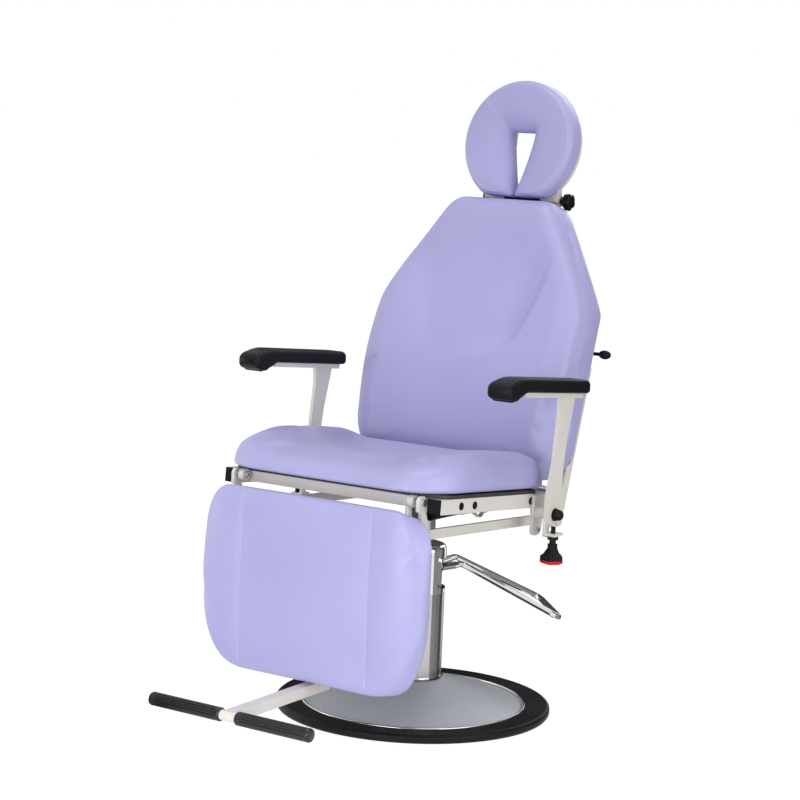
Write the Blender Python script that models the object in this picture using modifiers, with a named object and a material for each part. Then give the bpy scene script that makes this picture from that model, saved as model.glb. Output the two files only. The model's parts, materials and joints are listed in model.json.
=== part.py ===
"""Treatment chair for ear, nose and throat work.

A round floor base and a foot-pumped column carry a swivelling seat frame.
The backrest and the leg rest hinge on that frame and move together through
two link bars. Metres, +Z up, the sitter faces -Y and has +X at the left hand.
The origin is the middle of the base, on the floor.
"""
import math

import bmesh
import bpy
from mathutils import Matrix, Vector

# General fits
FIT = 0.0003                    # gap between two faces that touch
RUN = 0.0005                    # gap round a pin or a sliding tube
SHEET = 0.002                   # wall of tubes and pressed sheet

# Floor base
BASE_RADIUS = 0.300
RIM_WIDTH = 0.0535
RIM_HEIGHT = 0.018
BASE_PLATE = 0.008
COVER_EDGE = 0.013              # top of the dished cover at its edge
COVER_RISE = 0.059              # how much higher it is at the column
FOOT_RING = 0.004

# Column and foot pump
COLUMN_RADIUS = 0.0595
COLUMN_TOP = 0.261
HOUSING_RADIUS = 0.0605
HOUSING_TOP = 0.3445
CAP_HEIGHT = 0.0215
RAM_RADIUS = 0.022
RAM_FOOT = 0.060
PUMP_RADIUS = 0.034
PUMP_TOP = 0.330
HUB_RADIUS = 0.034
HUB_BOTTOM = 0.385
SOCKET_DEPTH = 0.030

# Foot pedal, seen from its pivot inside the pump housing
PEDAL_TURN = 43.6               # degrees from +X towards +Y
PEDAL_OUT = 0.043               # pivot's distance from the column's axis
PEDAL_HEIGHT = 0.315
PEDAL_ROD = 0.0068
PEDAL_CURVE = 0.018             # bend of the pedal's wire
PEDAL_SOCKET = 0.0080
PEDAL_PIVOT = 0.0065
PEDAL_PIVOT_HALF = 0.028
LUG_HALF = 0.010                # half the width of the pump's lug that holds the pivot
PEDAL_SHARE = 0.72              # the sockets end at this share of the way to the bends
PEDAL_BEND = (0.046, 0.040, 0.012)
PEDAL_TIP = (0.254, 0.105, -0.092)
SLOT_HALF = 0.039
SLOT_BOTTOM = 0.270
SLOT_TOP = 0.337

# Seat frame, measured along its tilted rails
SEAT_TILT = 4.4                 # degrees, front edge up
RAIL_FRONT_Y = -0.333
RAIL_FRONT_Z = 0.5333
RAIL_SIZE = 0.030
RAIL_LENGTH = 0.386
FRAME_HALF = 0.2725             # column axis to a rail's outer face
PLUG_FACE = 0.004
PLUG_DEPTH = 0.012
HOLE_RADIUS = 0.0070
RAIL_HOLES = (0.074, 0.124, 0.342)
FRONT_BAR = (0.025, 0.022)      # depth and height
REAR_BAR = (0.020, 0.020)
REAR_BAR_START = 0.327
BEAM_WIDTH = 0.025
BEAM_SPACING = 0.100
MOUNT_HALF = 0.125
MOUNT_START = 0.260
MOUNT_END = 0.385
MOUNT_PLATE = 0.008

# Upholstery
BOARD = 0.007
BOARD_FRONT = 0.002             # board's front edge, clear of the hinge knuckles
SEAT_HALF = 0.283
SEAT_FRONT = -0.046             # along the rails, ahead of their front ends
SEAT_BACK = 0.395
SEAT_THICK = 0.070
SEAT_BOLSTER = 0.013
SEAT_NOSE = 0.016               # rounding of the front top edge
SEAT_TAIL = 0.026               # rounding of the rear top edge
SEAT_EDGE = 0.050               # the top rounds off over this width at the sides
SEAT_EDGE_DEPTH = 0.030         # and by this depth
BOARD_INSET = 0.0015            # board's edge inside the rails' outer faces
SEAT_CORNER = 0.115
SEAT_CORNER_BACK = 0.024
SEAT_BROW = 0.210               # the front rounds off over this length
SEAT_BROW_DEPTH = 0.052         # and by this depth
SEAT_REAR = 0.040               # the back rounds off over this length
SEAT_REAR_DEPTH = 0.050         # and by this depth
SEAT_SINK = 0.012               # the top falls this much towards the back
BACK_IN = 0.0015                # backrest's side, inward of the rail's outer face
BACK_FRONT = -0.014             # front face, ahead of the recline axis
BACK_THICK = 0.110
BACK_LOW = 0.026
BACK_TOP = 0.638
BACK_TOP_HALF = 0.128
BACK_BULGE = 0.414              # height where the sides start to draw in
BACK_EDGE = 0.055               # the face rounds off over this width
BACK_EDGE_DEPTH = 0.030         # and by this depth
BACK_BROW = (0.075, 0.008)      # the face falls to its upper edge over this length, by this depth
BACK_TAPER = 0.03               # its sides draw in to the rear by this share
BACK_BOARD = 0.010
LUMBAR = 0.018
LEG_HALF = 0.283
LEG_FRONT = -0.417
LEG_BACK = -0.360
LEG_TOP = 0.523
LEG_TOP_FALL = 0.024            # the top edge falls to the back, clear of the raised seat front
LEG_BOTTOM = 0.127
LEG_EDGE = 0.062                # the face rounds off over this width at the sides
LEG_EDGE_DEPTH = 0.030          # and by this depth
LEG_CORNER = (0.076, 0.190)     # upper corners of the face draw in over this width and height
LEG_HEEL = (0.120, 0.185)       # lower corners of the face
LEG_CORNER_BACK = (0.045, 0.045)
LEG_HEEL_BACK = (0.075, 0.150)
LEG_SEAM = 0.162
SEAM_DEPTH = 0.003
LEG_BOARD = 0.009

# Joint axes and the plates that turn on them
LEG_AXIS_Y = -0.348
LEG_AXIS_Z = 0.526
BACK_TILT = 16.8                # degrees from upright
AXIS_SPAN = 0.433               # recline axis behind the leg rest's axis
LINK_SLOPE = 2.86               # degrees, falling to the back
LINK_BACK = 0.012               # link pin from its axis, backwards
LINK_DOWN = 0.070               # link pin from its axis, downwards
LINK_HEIGHT = 0.020
LINK_THICK = 0.008
LINK_IN = 0.0085                # link bar's middle, inward of the lug's
LUG_THICK = 0.008
LUG_GAP = 0.004                 # lug's clearance to the rail
KNUCKLE_IN = 0.020              # knuckle's middle, inward of the lug's
KNUCKLE_LENGTH = 0.013
KNUCKLE_RADIUS = 0.0125
PIN_RADIUS = 0.0045
SHAFT_RADIUS = 0.008
BRACKET_THICK = 0.008

# Gas spring that holds the backrest
GAS_X = 0.150
GAS_RADIUS = 0.010
GAS_ROD = 0.004
GAS_LENGTH = 0.215
GAS_FRONT = -0.190
GAS_CRANK = 0.040
RECLINE_RANGE = 65.0            # degrees, from the upright stop
GAS_EYE = 0.0125
GAS_EYE_HOLE = 0.0085
GAS_LEVER_X = 0.160

# Armrests
ARM_X = 0.319
ARM_PIVOT_Y = 0.022
ARM_PIVOT_Z = 0.468
POST_THICK = 0.008
POST_TOP = 0.7140
ARM_BAR = 0.010
ARM_BAR_WIDTH = 0.030
ARM_BAR_FRONT = -0.136
ARM_TIP = -0.220
ARM_REAR = 0.111
ARM_PAD_TOP = 0.776             # at the tip
ARM_PAD_FALL = 0.028            # lower at the rear
ARM_PAD_THICK = 0.029
ARM_PAD_WIDTH = 0.058
ARM_NOSE = 0.020                # the nose hangs this much lower
ARM_NOSE_FALL = 0.017           # and its top falls this much
ARM_NOSE_LENGTH = 0.064
TAB_Z = 0.430
TAB_THICK = 0.006
SCREW_X = 0.336
SCREW_Y = -0.002
SCREW_RADIUS = 0.005

# Headrest
HEAD_RADIUS = 0.143
HEAD_THICK = 0.062
HEAD_LIP = 0.014                # pad's height at the slot's edge
HEAD_CREST = 0.60               # the face is highest at this share of the way out
HEAD_TILT = 9.0                 # degrees from upright
HEAD_AXIS_BACK = 0.103          # from the recline axis, across the back
HEAD_AXIS_RISE = 0.0225         # above the backrest's top
HEAD_CENTRE_UP = 0.119          # pad's middle above its own axle
HEAD_PLATE = 0.007
HEAD_WEDGE = 0.014              # the plate is this much thicker at its lower end
HEAD_PLATE_AHEAD = 0.009        # its face, ahead of the axle's surface
HEAD_PLATE_RADIUS = 0.133
SLOT_TOP_HALF = 0.032
SLOT_RISE = 0.026
SLOT_POINT = 0.112
HEAD_FLAT = 0.122               # the lobes end here, below the pad's middle
LOBE_GAP = 0.0006
EAR_X = 0.075
EAR_WIDTH = 0.044
AXLE_RADIUS = 0.007
AXLE_HALF = 0.100

# Footrest
FOOT_Y = -0.638
FOOT_Z = 0.1045
FOOT_HALF = 0.200
FOOT_TUBE = 0.0105
GRIP_RADIUS = 0.014
GRIP_GAP = 0.020
STEM_WIDTH = 0.025
STEM_DEPTH = 0.022
STEM_RISE = 1.7                 # degrees, up to the back
STEM_TOP = 0.360
GUIDE_BOTTOM = 0.215
GUIDE_TOP = 0.420

# Backrest release lever
LEVER_IN = 0.0680               # lever's inner end, inward of the backrest's side
LEVER_REACH = 0.072
LEVER_UP = 0.325
LEVER_ROD = 0.004
LEVER_BALL = 0.010

SIDES = (("left", 1), ("right", -1))
UPRIGHT_PLATE = (math.pi / 2, 0, math.pi / 2)   # outline's x, y become Y, Z


def clear_scene():
    for item in list(bpy.data.objects):
        bpy.data.objects.remove(item, do_unlink=True)


def collection(name):
    group = bpy.data.collections.new(name)
    bpy.context.scene.collection.children.link(group)
    return group


def paint(name, colour, roughness, metallic):
    mat = bpy.data.materials.new(name)
    mat.use_nodes = True
    shader = mat.node_tree.nodes["Principled BSDF"]
    shader.inputs["Base Color"].default_value = (*colour, 1)
    shader.inputs["Roughness"].default_value = roughness
    shader.inputs["Metallic"].default_value = metallic
    return mat


clear_scene()
PARTS = collection("treatment_chair")
CUTTERS = collection("cutters")

VINYL = paint("lilac_vinyl", (0.40, 0.38, 0.68), 0.45, 0.0)
CREAM = paint("cream_enamel", (0.65, 0.62, 0.56), 0.35, 0.0)
STEEL = paint("satin_steel", (0.45, 0.46, 0.50), 0.30, 1.0)
CHROME = paint("chrome", (0.80, 0.80, 0.82), 0.08, 1.0)
BLACK = paint("black_plastic", (0.014, 0.014, 0.016), 0.40, 0.0)
RUBBER = paint("black_rubber", (0.016, 0.016, 0.017), 0.70, 0.0)
PLYWOOD = paint("dark_board", (0.03, 0.028, 0.03), 0.70, 0.0)


def empty(name, location, rotation=(0, 0, 0), parent=None):
    marker = bpy.data.objects.new(name, None)
    marker.location = location
    marker.rotation_euler = rotation
    marker.parent = parent
    PARTS.objects.link(marker)
    return marker


def add(name, data, mat, parent=None, location=(0, 0, 0), rotation=(0, 0, 0)):
    item = bpy.data.objects.new(name, data)
    item.location = location
    item.rotation_euler = rotation
    item.parent = parent
    if mat:
        data.materials.append(mat)
    PARTS.objects.link(item)
    return item


def smooth(item, angle=40):
    item.data.shade_smooth()
    item.data.set_sharp_from_angle(angle=math.radians(angle))


def finished(bm, name):
    mesh = bpy.data.meshes.new(name)
    bm.to_mesh(mesh)
    bm.free()
    return mesh


def block(name, low, high, mat, parent=None, bevel=0.0, **place):
    """A box between two corners."""
    middle = (Vector(low) + Vector(high)) / 2
    size = Vector(high) - Vector(low)
    bm = bmesh.new()
    bmesh.ops.create_cube(bm, size=1, matrix=Matrix.Translation(middle) @ Matrix.Diagonal((*size, 1)))
    item = add(name, finished(bm, name), mat, parent, **place)
    if bevel:
        edge = item.modifiers.new("rounded_edges", "BEVEL")
        edge.width = bevel
        edge.segments = 2
    return item


def rod(name, start, end, radius, mat, parent=None, sides=20, **place):
    """A round bar between two points."""
    start, end = Vector(start), Vector(end)
    run = end - start
    turn = run.to_track_quat("Z", "Y").to_matrix().to_4x4()
    bm = bmesh.new()
    bmesh.ops.create_cone(
        bm, cap_ends=True, segments=sides, radius1=radius, radius2=radius, depth=run.length,
        matrix=Matrix.Translation((start + end) / 2) @ turn)
    item = add(name, finished(bm, name), mat, parent, **place)
    smooth(item)
    return item


def square_tube(name, low, high, along, mat, parent=None):
    """A box tube with open ends; along is the index of its long axis."""
    item = block(name, low, high, mat, parent)
    bm = bmesh.new()
    bm.from_mesh(item.data)
    ends = [face for face in bm.faces if abs(face.normal[along]) > 0.9]
    bmesh.ops.delete(bm, geom=ends, context="FACES_ONLY")
    bm.to_mesh(item.data)
    bm.free()
    wall = item.modifiers.new("wall", "SOLIDIFY")
    wall.thickness = SHEET
    wall.offset = -1
    wall.use_even_offset = True
    return item


def turned(name, profile, mat, parent=None, closed=True, steps=32, **place):
    """A profile of (radius, height) points, run down its outer side, turned about Z."""
    bm = bmesh.new()
    verts = [bm.verts.new((radius, 0, height)) for radius, height in profile]
    pairs = list(zip(verts, verts[1:]))
    if closed:
        pairs.append((verts[-1], verts[0]))
    for first, second in pairs:
        bm.edges.new((first, second))
    item = add(name, finished(bm, name), mat, parent, **place)
    screw = item.modifiers.new("turn", "SCREW")
    screw.axis = "Z"
    screw.angle = math.tau
    screw.steps = steps
    screw.render_steps = steps
    screw.use_merge_vertices = True
    screw.merge_threshold = 0.00001
    screw.use_smooth_shade = True
    return item


def ring_profile(inner, outer, bottom, top):
    return [(outer, top), (outer, bottom), (inner, bottom), (inner, top)]


def arc(centre, radius, start, end, steps):
    """Points on an arc, in degrees."""
    points = []
    for step in range(steps + 1):
        angle = math.radians(start + (end - start) * step / steps)
        points.append((centre[0] + radius * math.cos(angle), centre[1] + radius * math.sin(angle)))
    return points


def rounded(corners, steps=4):
    """Outline through (x, y, radius) corners, each rounded by an arc."""
    points = []
    count = len(corners)
    for index, (x, y, radius) in enumerate(corners):
        here = Vector((x, y))
        before = Vector(corners[index - 1][:2]) - here
        after = Vector(corners[(index + 1) % count][:2]) - here
        room = 0.48 * min(before.length, after.length)
        before.normalize()
        after.normalize()
        half = before.angle(after) / 2
        if radius <= 0 or half > 1.55:
            points.append((x, y))
            continue
        back = min(room, radius / math.tan(half))
        radius = back * math.tan(half)
        middle = here + (before + after).normalized() * radius / math.sin(half)
        first = here + before * back - middle
        last = here + after * back - middle
        sweep = first.angle_signed(last)
        for step in range(steps + 1):
            spot = first.copy()
            spot.rotate(Matrix.Rotation(-sweep * step / steps, 2))
            points.append(tuple(middle + spot))
    return points


def circle(centre, radius, sides=20):
    return arc(centre, radius, 0, 360 - 360 / sides, sides - 1)


def to_mesh(curve):
    """The curve's solid as a mesh object in the curve's place."""
    bpy.context.view_layer.update()
    seen = curve.evaluated_get(bpy.context.evaluated_depsgraph_get())
    mesh = bpy.data.meshes.new_from_object(seen)
    bm = bmesh.new()
    bm.from_mesh(mesh)
    bmesh.ops.remove_doubles(bm, verts=bm.verts, dist=0.000001)
    bm.to_mesh(mesh)
    bm.free()
    name, mat, parent = curve.name, curve.data.materials[0], curve.parent
    place = {"location": curve.location.copy(), "rotation": curve.rotation_euler.copy()}
    bpy.data.objects.remove(curve)
    mesh.materials.clear()
    return add(name, mesh, mat, parent, **place)


def plate(name, outlines, thickness, mat, parent=None, **place):
    """A flat plate; the first outline is its edge and the others are its holes."""
    curve = bpy.data.curves.new(name, "CURVE")
    curve.dimensions = "2D"
    curve.fill_mode = "BOTH"
    curve.extrude = thickness / 2
    for outline in outlines:
        spline = curve.splines.new("POLY")
        spline.points.add(len(outline) - 1)
        for point, (x, y) in zip(spline.points, outline):
            point.co = (x, y, 0, 1)
        spline.use_cyclic_u = True
    return to_mesh(add(name, curve, mat, parent, **place))


def filleted(corners, radius, steps=4):
    """A path through the corners with its inner bends rounded."""
    path = [Vector(corners[0])]
    for before, here, after in zip(corners, corners[1:], corners[2:]):
        here = Vector(here)
        back = (Vector(before) - here).normalized()
        ahead = (Vector(after) - here).normalized()
        reach = radius / math.tan(back.angle(ahead) / 2)
        first, last = here + back * reach, here + ahead * reach
        for step in range(steps + 1):
            share = step / steps
            path.append(first.lerp(here, share).lerp(here.lerp(last, share), share))
    path.append(Vector(corners[-1]))
    return path


def wire(name, path, radius, mat, parent=None, **place):
    """A round wire along a path."""
    curve = bpy.data.curves.new(name, "CURVE")
    curve.dimensions = "3D"
    curve.bevel_depth = radius
    curve.bevel_resolution = 3
    curve.use_fill_caps = True
    spline = curve.splines.new("POLY")
    spline.points.add(len(path) - 1)
    for point, spot in zip(spline.points, path):
        point.co = (*spot, 1)
    item = to_mesh(add(name, curve, mat, parent, **place))
    smooth(item)
    return item


def loft(name, rings, mat, parent=None, **place):
    """A skin over rings of equal count, closed at both ends by a fan."""
    bm = bmesh.new()
    rows = [[bm.verts.new(spot) for spot in ring] for ring in rings]
    count = len(rings[0])
    for row, after in zip(rows, rows[1:]):
        for index in range(count):
            ahead = (index + 1) % count
            bm.faces.new((row[index], row[ahead], after[ahead], after[index]))
    for row in (rows[0], rows[-1]):
        middle = bm.verts.new(sum((vert.co for vert in row), Vector()) / count)
        for index in range(count):
            bm.faces.new((row[index], row[(index + 1) % count], middle))
    bmesh.ops.recalc_face_normals(bm, faces=bm.faces)
    item = add(name, finished(bm, name), mat, parent, **place)
    smooth(item, 50)
    return item


def combine(target, tool, operation):
    """Join a tool to a piece, or cut it out of the piece."""
    step = target.modifiers.new(operation.lower(), "BOOLEAN")
    step.operation = operation
    step.solver = "EXACT"
    step.object = tool
    PARTS.objects.unlink(tool)
    CUTTERS.objects.link(tool)
    tool.hide_render = True
    tool.display_type = "WIRE"


def section(low, high, face, base, face_radii, base_radii, cuts, steps=3):
    """Closed loop of (along, across) points round a section with four rounded corners.

    The radii are given for the low end and the high end. The face side is divided by
    cuts so that it can carry relief.
    """
    start, end = low + face_radii[0], high - face_radii[1]
    loop = arc((start, face - face_radii[0]), face_radii[0], 180, 90, steps)
    for cut in range(1, cuts):
        loop.append((start + (end - start) * cut / cuts, face))
    loop += arc((end, face - face_radii[1]), face_radii[1], 90, 0, steps)
    loop += arc((high - base_radii[1], base + base_radii[1]), base_radii[1], 0, -90, steps)
    loop += arc((low + base_radii[0], base + base_radii[0]), base_radii[0], -90, -180, steps)
    return loop


def stations(half, edge, inner, seams=(), steps=3):
    """Places across a pad as (x, inset); the inset rounds its two sides."""
    places = []
    for step in range(steps, 0, -1):
        angle = math.pi / 2 * step / steps
        places.append((-half + edge - edge * math.sin(angle), edge * (1 - math.cos(angle))))
    flat = half - edge
    middle = [-flat + 2 * flat * index / inner for index in range(inner + 1)]
    middle = [x for x in middle if all(abs(abs(x) - seam) > 0.016 for seam in seams)]
    for seam in seams:
        for side in (-1, 1):
            middle += [side * seam - 0.008, side * seam, side * seam + 0.008]
    places += [(x, 0.0) for x in sorted(middle)]
    places += [(-x, inset) for x, inset in reversed(places[:steps])]
    return places


def corner_drop(x, half, radius):
    """How far a rounded plan corner draws an edge in at x."""
    reach = max(0.0, abs(x) - (half - radius))
    return radius - math.sqrt(max(0.0, radius * radius - reach * reach))


def oval_drop(x, half, corner):
    """The same for an oval corner of the given width and height."""
    return corner[1] / corner[0] * corner_drop(x, half, corner[0])


def bump(value, middle, width):
    """A smooth hump, one at the middle and nothing beyond the width."""
    share = min(1.0, abs(value - middle) / width)
    return (1 - share * share) ** 2


# Driven places
DISC_RADIUS = BASE_RADIUS - RIM_WIDTH
COVER_TOP = COVER_EDGE + COVER_RISE
CAP_TOP = HOUSING_TOP + FIT + CAP_HEIGHT
TILT = math.radians(SEAT_TILT)
RECLINE = math.radians(BACK_TILT)
SLOPE = math.radians(LINK_SLOPE)
BACK_AXIS_Y = LEG_AXIS_Y + AXIS_SPAN
BACK_AXIS_Z = LEG_AXIS_Z - AXIS_SPAN * math.tan(SLOPE)
RAIL_IN = FRAME_HALF - RAIL_SIZE
BACK_HALF = FRAME_HALF - BACK_IN
LEVER_X = BACK_HALF - LEVER_IN
HEAD_AXIS_UP = BACK_TOP + HEAD_AXIS_RISE
LUG_X = RAIL_IN - LUG_GAP - LUG_THICK / 2
KNUCKLE_X = LUG_X - KNUCKLE_IN
LINK_X = LUG_X - LINK_IN
BRACKET_X = FRAME_HALF + FIT + BRACKET_THICK / 2
BRACKET_OUT = BRACKET_X + BRACKET_THICK / 2

seat_axis = empty("seat_axis", (0, RAIL_FRONT_Y, RAIL_FRONT_Z), (-TILT, 0, 0))
leg_axis = empty("leg_axis", (0, LEG_AXIS_Y, LEG_AXIS_Z))
back_axis = empty("back_axis", (0, BACK_AXIS_Y, BACK_AXIS_Z), (-RECLINE, 0, 0))
head_axis = empty(
    "head_axis", (0, HEAD_AXIS_BACK, HEAD_AXIS_UP),
    (RECLINE - math.radians(HEAD_TILT), 0, 0), back_axis)
PEDAL_ANGLE = math.radians(PEDAL_TURN)
pedal_axis = empty(
    "pedal_axis",
    (PEDAL_OUT * math.cos(PEDAL_ANGLE), PEDAL_OUT * math.sin(PEDAL_ANGLE), PEDAL_HEIGHT),
    (0, 0, PEDAL_ANGLE))


def floor_base():
    turned("base_plate", [(0, BASE_PLATE), (DISC_RADIUS - FIT, BASE_PLATE), (DISC_RADIUS - FIT, 0), (0, 0)],
           STEEL, closed=False, steps=48)
    edge = DISC_RADIUS - FIT
    hole = COLUMN_RADIUS + FIT
    foot = BASE_PLATE + FIT
    bead = [(edge - 0.010, COVER_EDGE + 0.0012), (edge - 0.006, COVER_EDGE + 0.0035),
            (edge - 0.002, COVER_EDGE + 0.0035), (edge, COVER_EDGE + 0.0015)]
    turned("base_cover", [(hole, COVER_TOP)] + bead
           + [(edge, foot), (edge - SHEET, foot), (edge - SHEET, COVER_EDGE - SHEET), (hole, COVER_TOP - SHEET)],
           STEEL, steps=48)
    shoulder = 0.007
    outer = arc((BASE_RADIUS - shoulder, RIM_HEIGHT - shoulder), shoulder, 80, 0, 4)
    turned("base_rim", [(DISC_RADIUS, RIM_HEIGHT - 0.002), (DISC_RADIUS + 0.004, RIM_HEIGHT)] + outer
           + [(BASE_RADIUS, 0.004), (BASE_RADIUS - 0.004, 0), (DISC_RADIUS, 0)], RUBBER, steps=48)
    turned("column_tube", ring_profile(COLUMN_RADIUS - SHEET, COLUMN_RADIUS, foot, COLUMN_TOP), STEEL)
    turned("column_foot_ring", ring_profile(hole, hole + FOOT_RING, COVER_TOP + FIT, COVER_TOP + FOOT_RING), CHROME)


def foot_pump():
    housing = turned("pump_housing", ring_profile(
        HOUSING_RADIUS - SHEET, HOUSING_RADIUS, COLUMN_TOP + FIT, HOUSING_TOP), CHROME)
    slot = block("pedal_slot", (0.02, -SLOT_HALF, SLOT_BOTTOM), (HOUSING_RADIUS * 2, SLOT_HALF, SLOT_TOP),
                 None, rotation=(0, 0, PEDAL_ANGLE))
    combine(housing, slot, "DIFFERENCE")
    bore = RAM_RADIUS + RUN
    low = HOUSING_TOP + FIT
    dome = arc((HOUSING_RADIUS - 0.012, CAP_TOP - 0.012), 0.012, 80, 0, 4)
    turned("column_cap", [(bore, CAP_TOP)] + dome + [(HOUSING_RADIUS, low), (bore, low)], CHROME)
    cylinder = turned("pump_cylinder", ring_profile(bore, PUMP_RADIUS, BASE_PLATE + FIT, PUMP_TOP), STEEL)
    ear = PEDAL_PIVOT + 0.0045
    lug = block("pedal_lug", (PUMP_RADIUS - 0.004 - PEDAL_OUT, -LUG_HALF, -ear), (ear, LUG_HALF, ear), None, pedal_axis)
    combine(cylinder, lug, "UNION")
    drill = rod("pivot_drill", (0, -LUG_HALF * 2, 0), (0, LUG_HALF * 2, 0), PEDAL_PIVOT + FIT, None, pedal_axis)
    combine(cylinder, drill, "DIFFERENCE")
    ram_top = HUB_BOTTOM + SOCKET_DEPTH - FIT
    turned("lift_ram", [(0, ram_top), (RAM_RADIUS, ram_top), (RAM_RADIUS, RAM_FOOT), (0, RAM_FOOT)],
           CHROME, closed=False, steps=24)


def pedal():
    yoke = rod("pedal_yoke", (0, -PEDAL_PIVOT_HALF, 0), (0, PEDAL_PIVOT_HALF, 0), PEDAL_PIVOT, STEEL, pedal_axis)
    bend = Vector(PEDAL_BEND)
    inner = Vector((0, PEDAL_PIVOT_HALF - PEDAL_PIVOT, 0))
    outer = inner.lerp(bend, PEDAL_SHARE)
    flip = Matrix.Diagonal((1, -1, 1))
    for name, turn in (("left", Matrix.Identity(3)), ("right", flip)):
        socket = rod("pedal_socket_" + name, turn @ inner, turn @ outer, PEDAL_SOCKET, None, pedal_axis)
        combine(yoke, socket, "UNION")
    start = outer + (bend - outer).normalized() * FIT
    half = [start, bend, Vector(PEDAL_TIP)]
    corners = half + [flip @ spot for spot in reversed(half)]
    wire("pedal_loop", filleted(corners, PEDAL_CURVE), PEDAL_ROD, CHROME, pedal_axis)


def seat_frame():
    for name, side in SIDES:
        low_x, high_x = sorted((side * RAIL_IN, side * FRAME_HALF))
        rail = square_tube("seat_rail_" + name, (low_x, 0, -RAIL_SIZE), (high_x, RAIL_LENGTH, 0), 1, CREAM, seat_axis)
        for place in RAIL_HOLES:
            drill = rod("rail_drill", (side * (FRAME_HALF - SHEET * 2), place, -RAIL_SIZE / 2),
                        (side * (FRAME_HALF + SHEET), place, -RAIL_SIZE / 2), HOLE_RADIUS, None, seat_axis)
            combine(rail, drill, "DIFFERENCE")
        plug = block("rail_plug_" + name, (low_x, -FIT - PLUG_FACE, -RAIL_SIZE), (high_x, -FIT, 0), BLACK, seat_axis)
        inset = SHEET + FIT
        spigot = block("plug_spigot", (low_x + inset, -PLUG_FACE / 2, inset - RAIL_SIZE),
                       (high_x - inset, PLUG_DEPTH, -inset), None, seat_axis)
        combine(plug, spigot, "UNION")
    span = RAIL_IN - FIT
    front = block("front_crossbar", (-span, 0, -FRONT_BAR[1]), (span, FRONT_BAR[0], 0), CREAM, seat_axis)
    for name, side in SIDES:
        low_x = side * KNUCKLE_X - KNUCKLE_LENGTH / 2
        high_x = low_x + KNUCKLE_LENGTH
        barrel = rod("knuckle_barrel", (low_x, 0, 0), (high_x, 0, 0), KNUCKLE_RADIUS, None, leg_axis)
        arm = block("knuckle_arm", (low_x + 0.001, 0, -0.009), (high_x - 0.001, 0.025, 0.002), None, leg_axis)
        drill = rod("knuckle_drill", (low_x - 0.01, 0, 0), (high_x + 0.01, 0, 0), PIN_RADIUS + FIT, None, leg_axis)
        combine(front, barrel, "UNION")
        combine(front, arm, "UNION")
        combine(front, drill, "DIFFERENCE")
        head = high_x if side < 0 else LUG_X + LUG_THICK / 2
        hinge_pin("leg_hinge_pin_" + name, head + FIT)
    rear_end = REAR_BAR_START + REAR_BAR[0]
    block("rear_crossbar", (-span, REAR_BAR_START, -REAR_BAR[1]), (span, rear_end, 0), CREAM, seat_axis)
    under = -FRONT_BAR[1] - FIT
    mount = block("seat_mount", (-MOUNT_HALF, MOUNT_START, under - MOUNT_PLATE), (MOUNT_HALF, MOUNT_END, under),
                  STEEL, seat_axis)
    for name, side in SIDES:
        beam = block("mount_beam", (side * BEAM_SPACING - BEAM_WIDTH / 2, FRONT_BAR[0] + FIT, under - 0.001),
                     (side * BEAM_SPACING + BEAM_WIDTH / 2, REAR_BAR_START - FIT, -FIT), None, seat_axis)
        combine(mount, beam, "UNION")
    swivel_hub(under - MOUNT_PLATE)


def hinge_pin(name, head):
    """Socket-head bolt of a leg-rest hinge; both heads face +X."""
    shank = LUG_THICK + LUG_X - KNUCKLE_X + KNUCKLE_LENGTH / 2
    bolt = [(0, 0.001), (0.0025, 0.001), (0.003, 0.005), (0.0072, 0.005), (0.008, 0.004), (0.008, 0),
            (PIN_RADIUS, 0), (PIN_RADIUS, -shank), (0, -shank)]
    turned(name, bolt, STEEL, leg_axis, closed=False, steps=18, location=(head, 0, 0), rotation=(0, math.pi / 2, 0))


def swivel_hub(plate_under):
    """Cup on top of the ram, cut to the seat's slope at the mounting plate."""
    bore = RAM_RADIUS + RUN
    reach = -RAIL_FRONT_Y * math.tan(TILT)
    top = RAIL_FRONT_Z - reach + (plate_under - FIT) / math.cos(TILT)
    tall = top + HUB_RADIUS
    hub = turned("swivel_hub", [(0, tall), (HUB_RADIUS, tall), (HUB_RADIUS, HUB_BOTTOM), (bore, HUB_BOTTOM),
                                (bore, HUB_BOTTOM + SOCKET_DEPTH), (0, HUB_BOTTOM + SOCKET_DEPTH)],
                 STEEL, closed=False, steps=24)
    wide = HUB_RADIUS * 3
    above = block("hub_cutter", (-wide, -wide, 0), (wide, wide, wide), None,
                  location=(0, 0, top), rotation=(-TILT, 0, 0))
    combine(hub, above, "DIFFERENCE")


def rounding(share):
    """Depth of a round edge, from nothing at its inner end to one at the rim."""
    return 1 - math.sqrt(max(0.0, 1 - min(1.0, share) ** 2))


def seat_fall(x, ahead, behind):
    """How far the seat's top falls near its sides, its front and its back."""
    side = SEAT_EDGE_DEPTH * rounding(max(0.0, 1 - (SEAT_HALF - abs(x)) / SEAT_EDGE))
    nose = SEAT_BROW_DEPTH * rounding(max(0.0, 1 - ahead / SEAT_BROW))
    tail = SEAT_REAR_DEPTH * rounding(max(0.0, 1 - behind / SEAT_REAR))
    return math.hypot(side, nose, tail)


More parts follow.
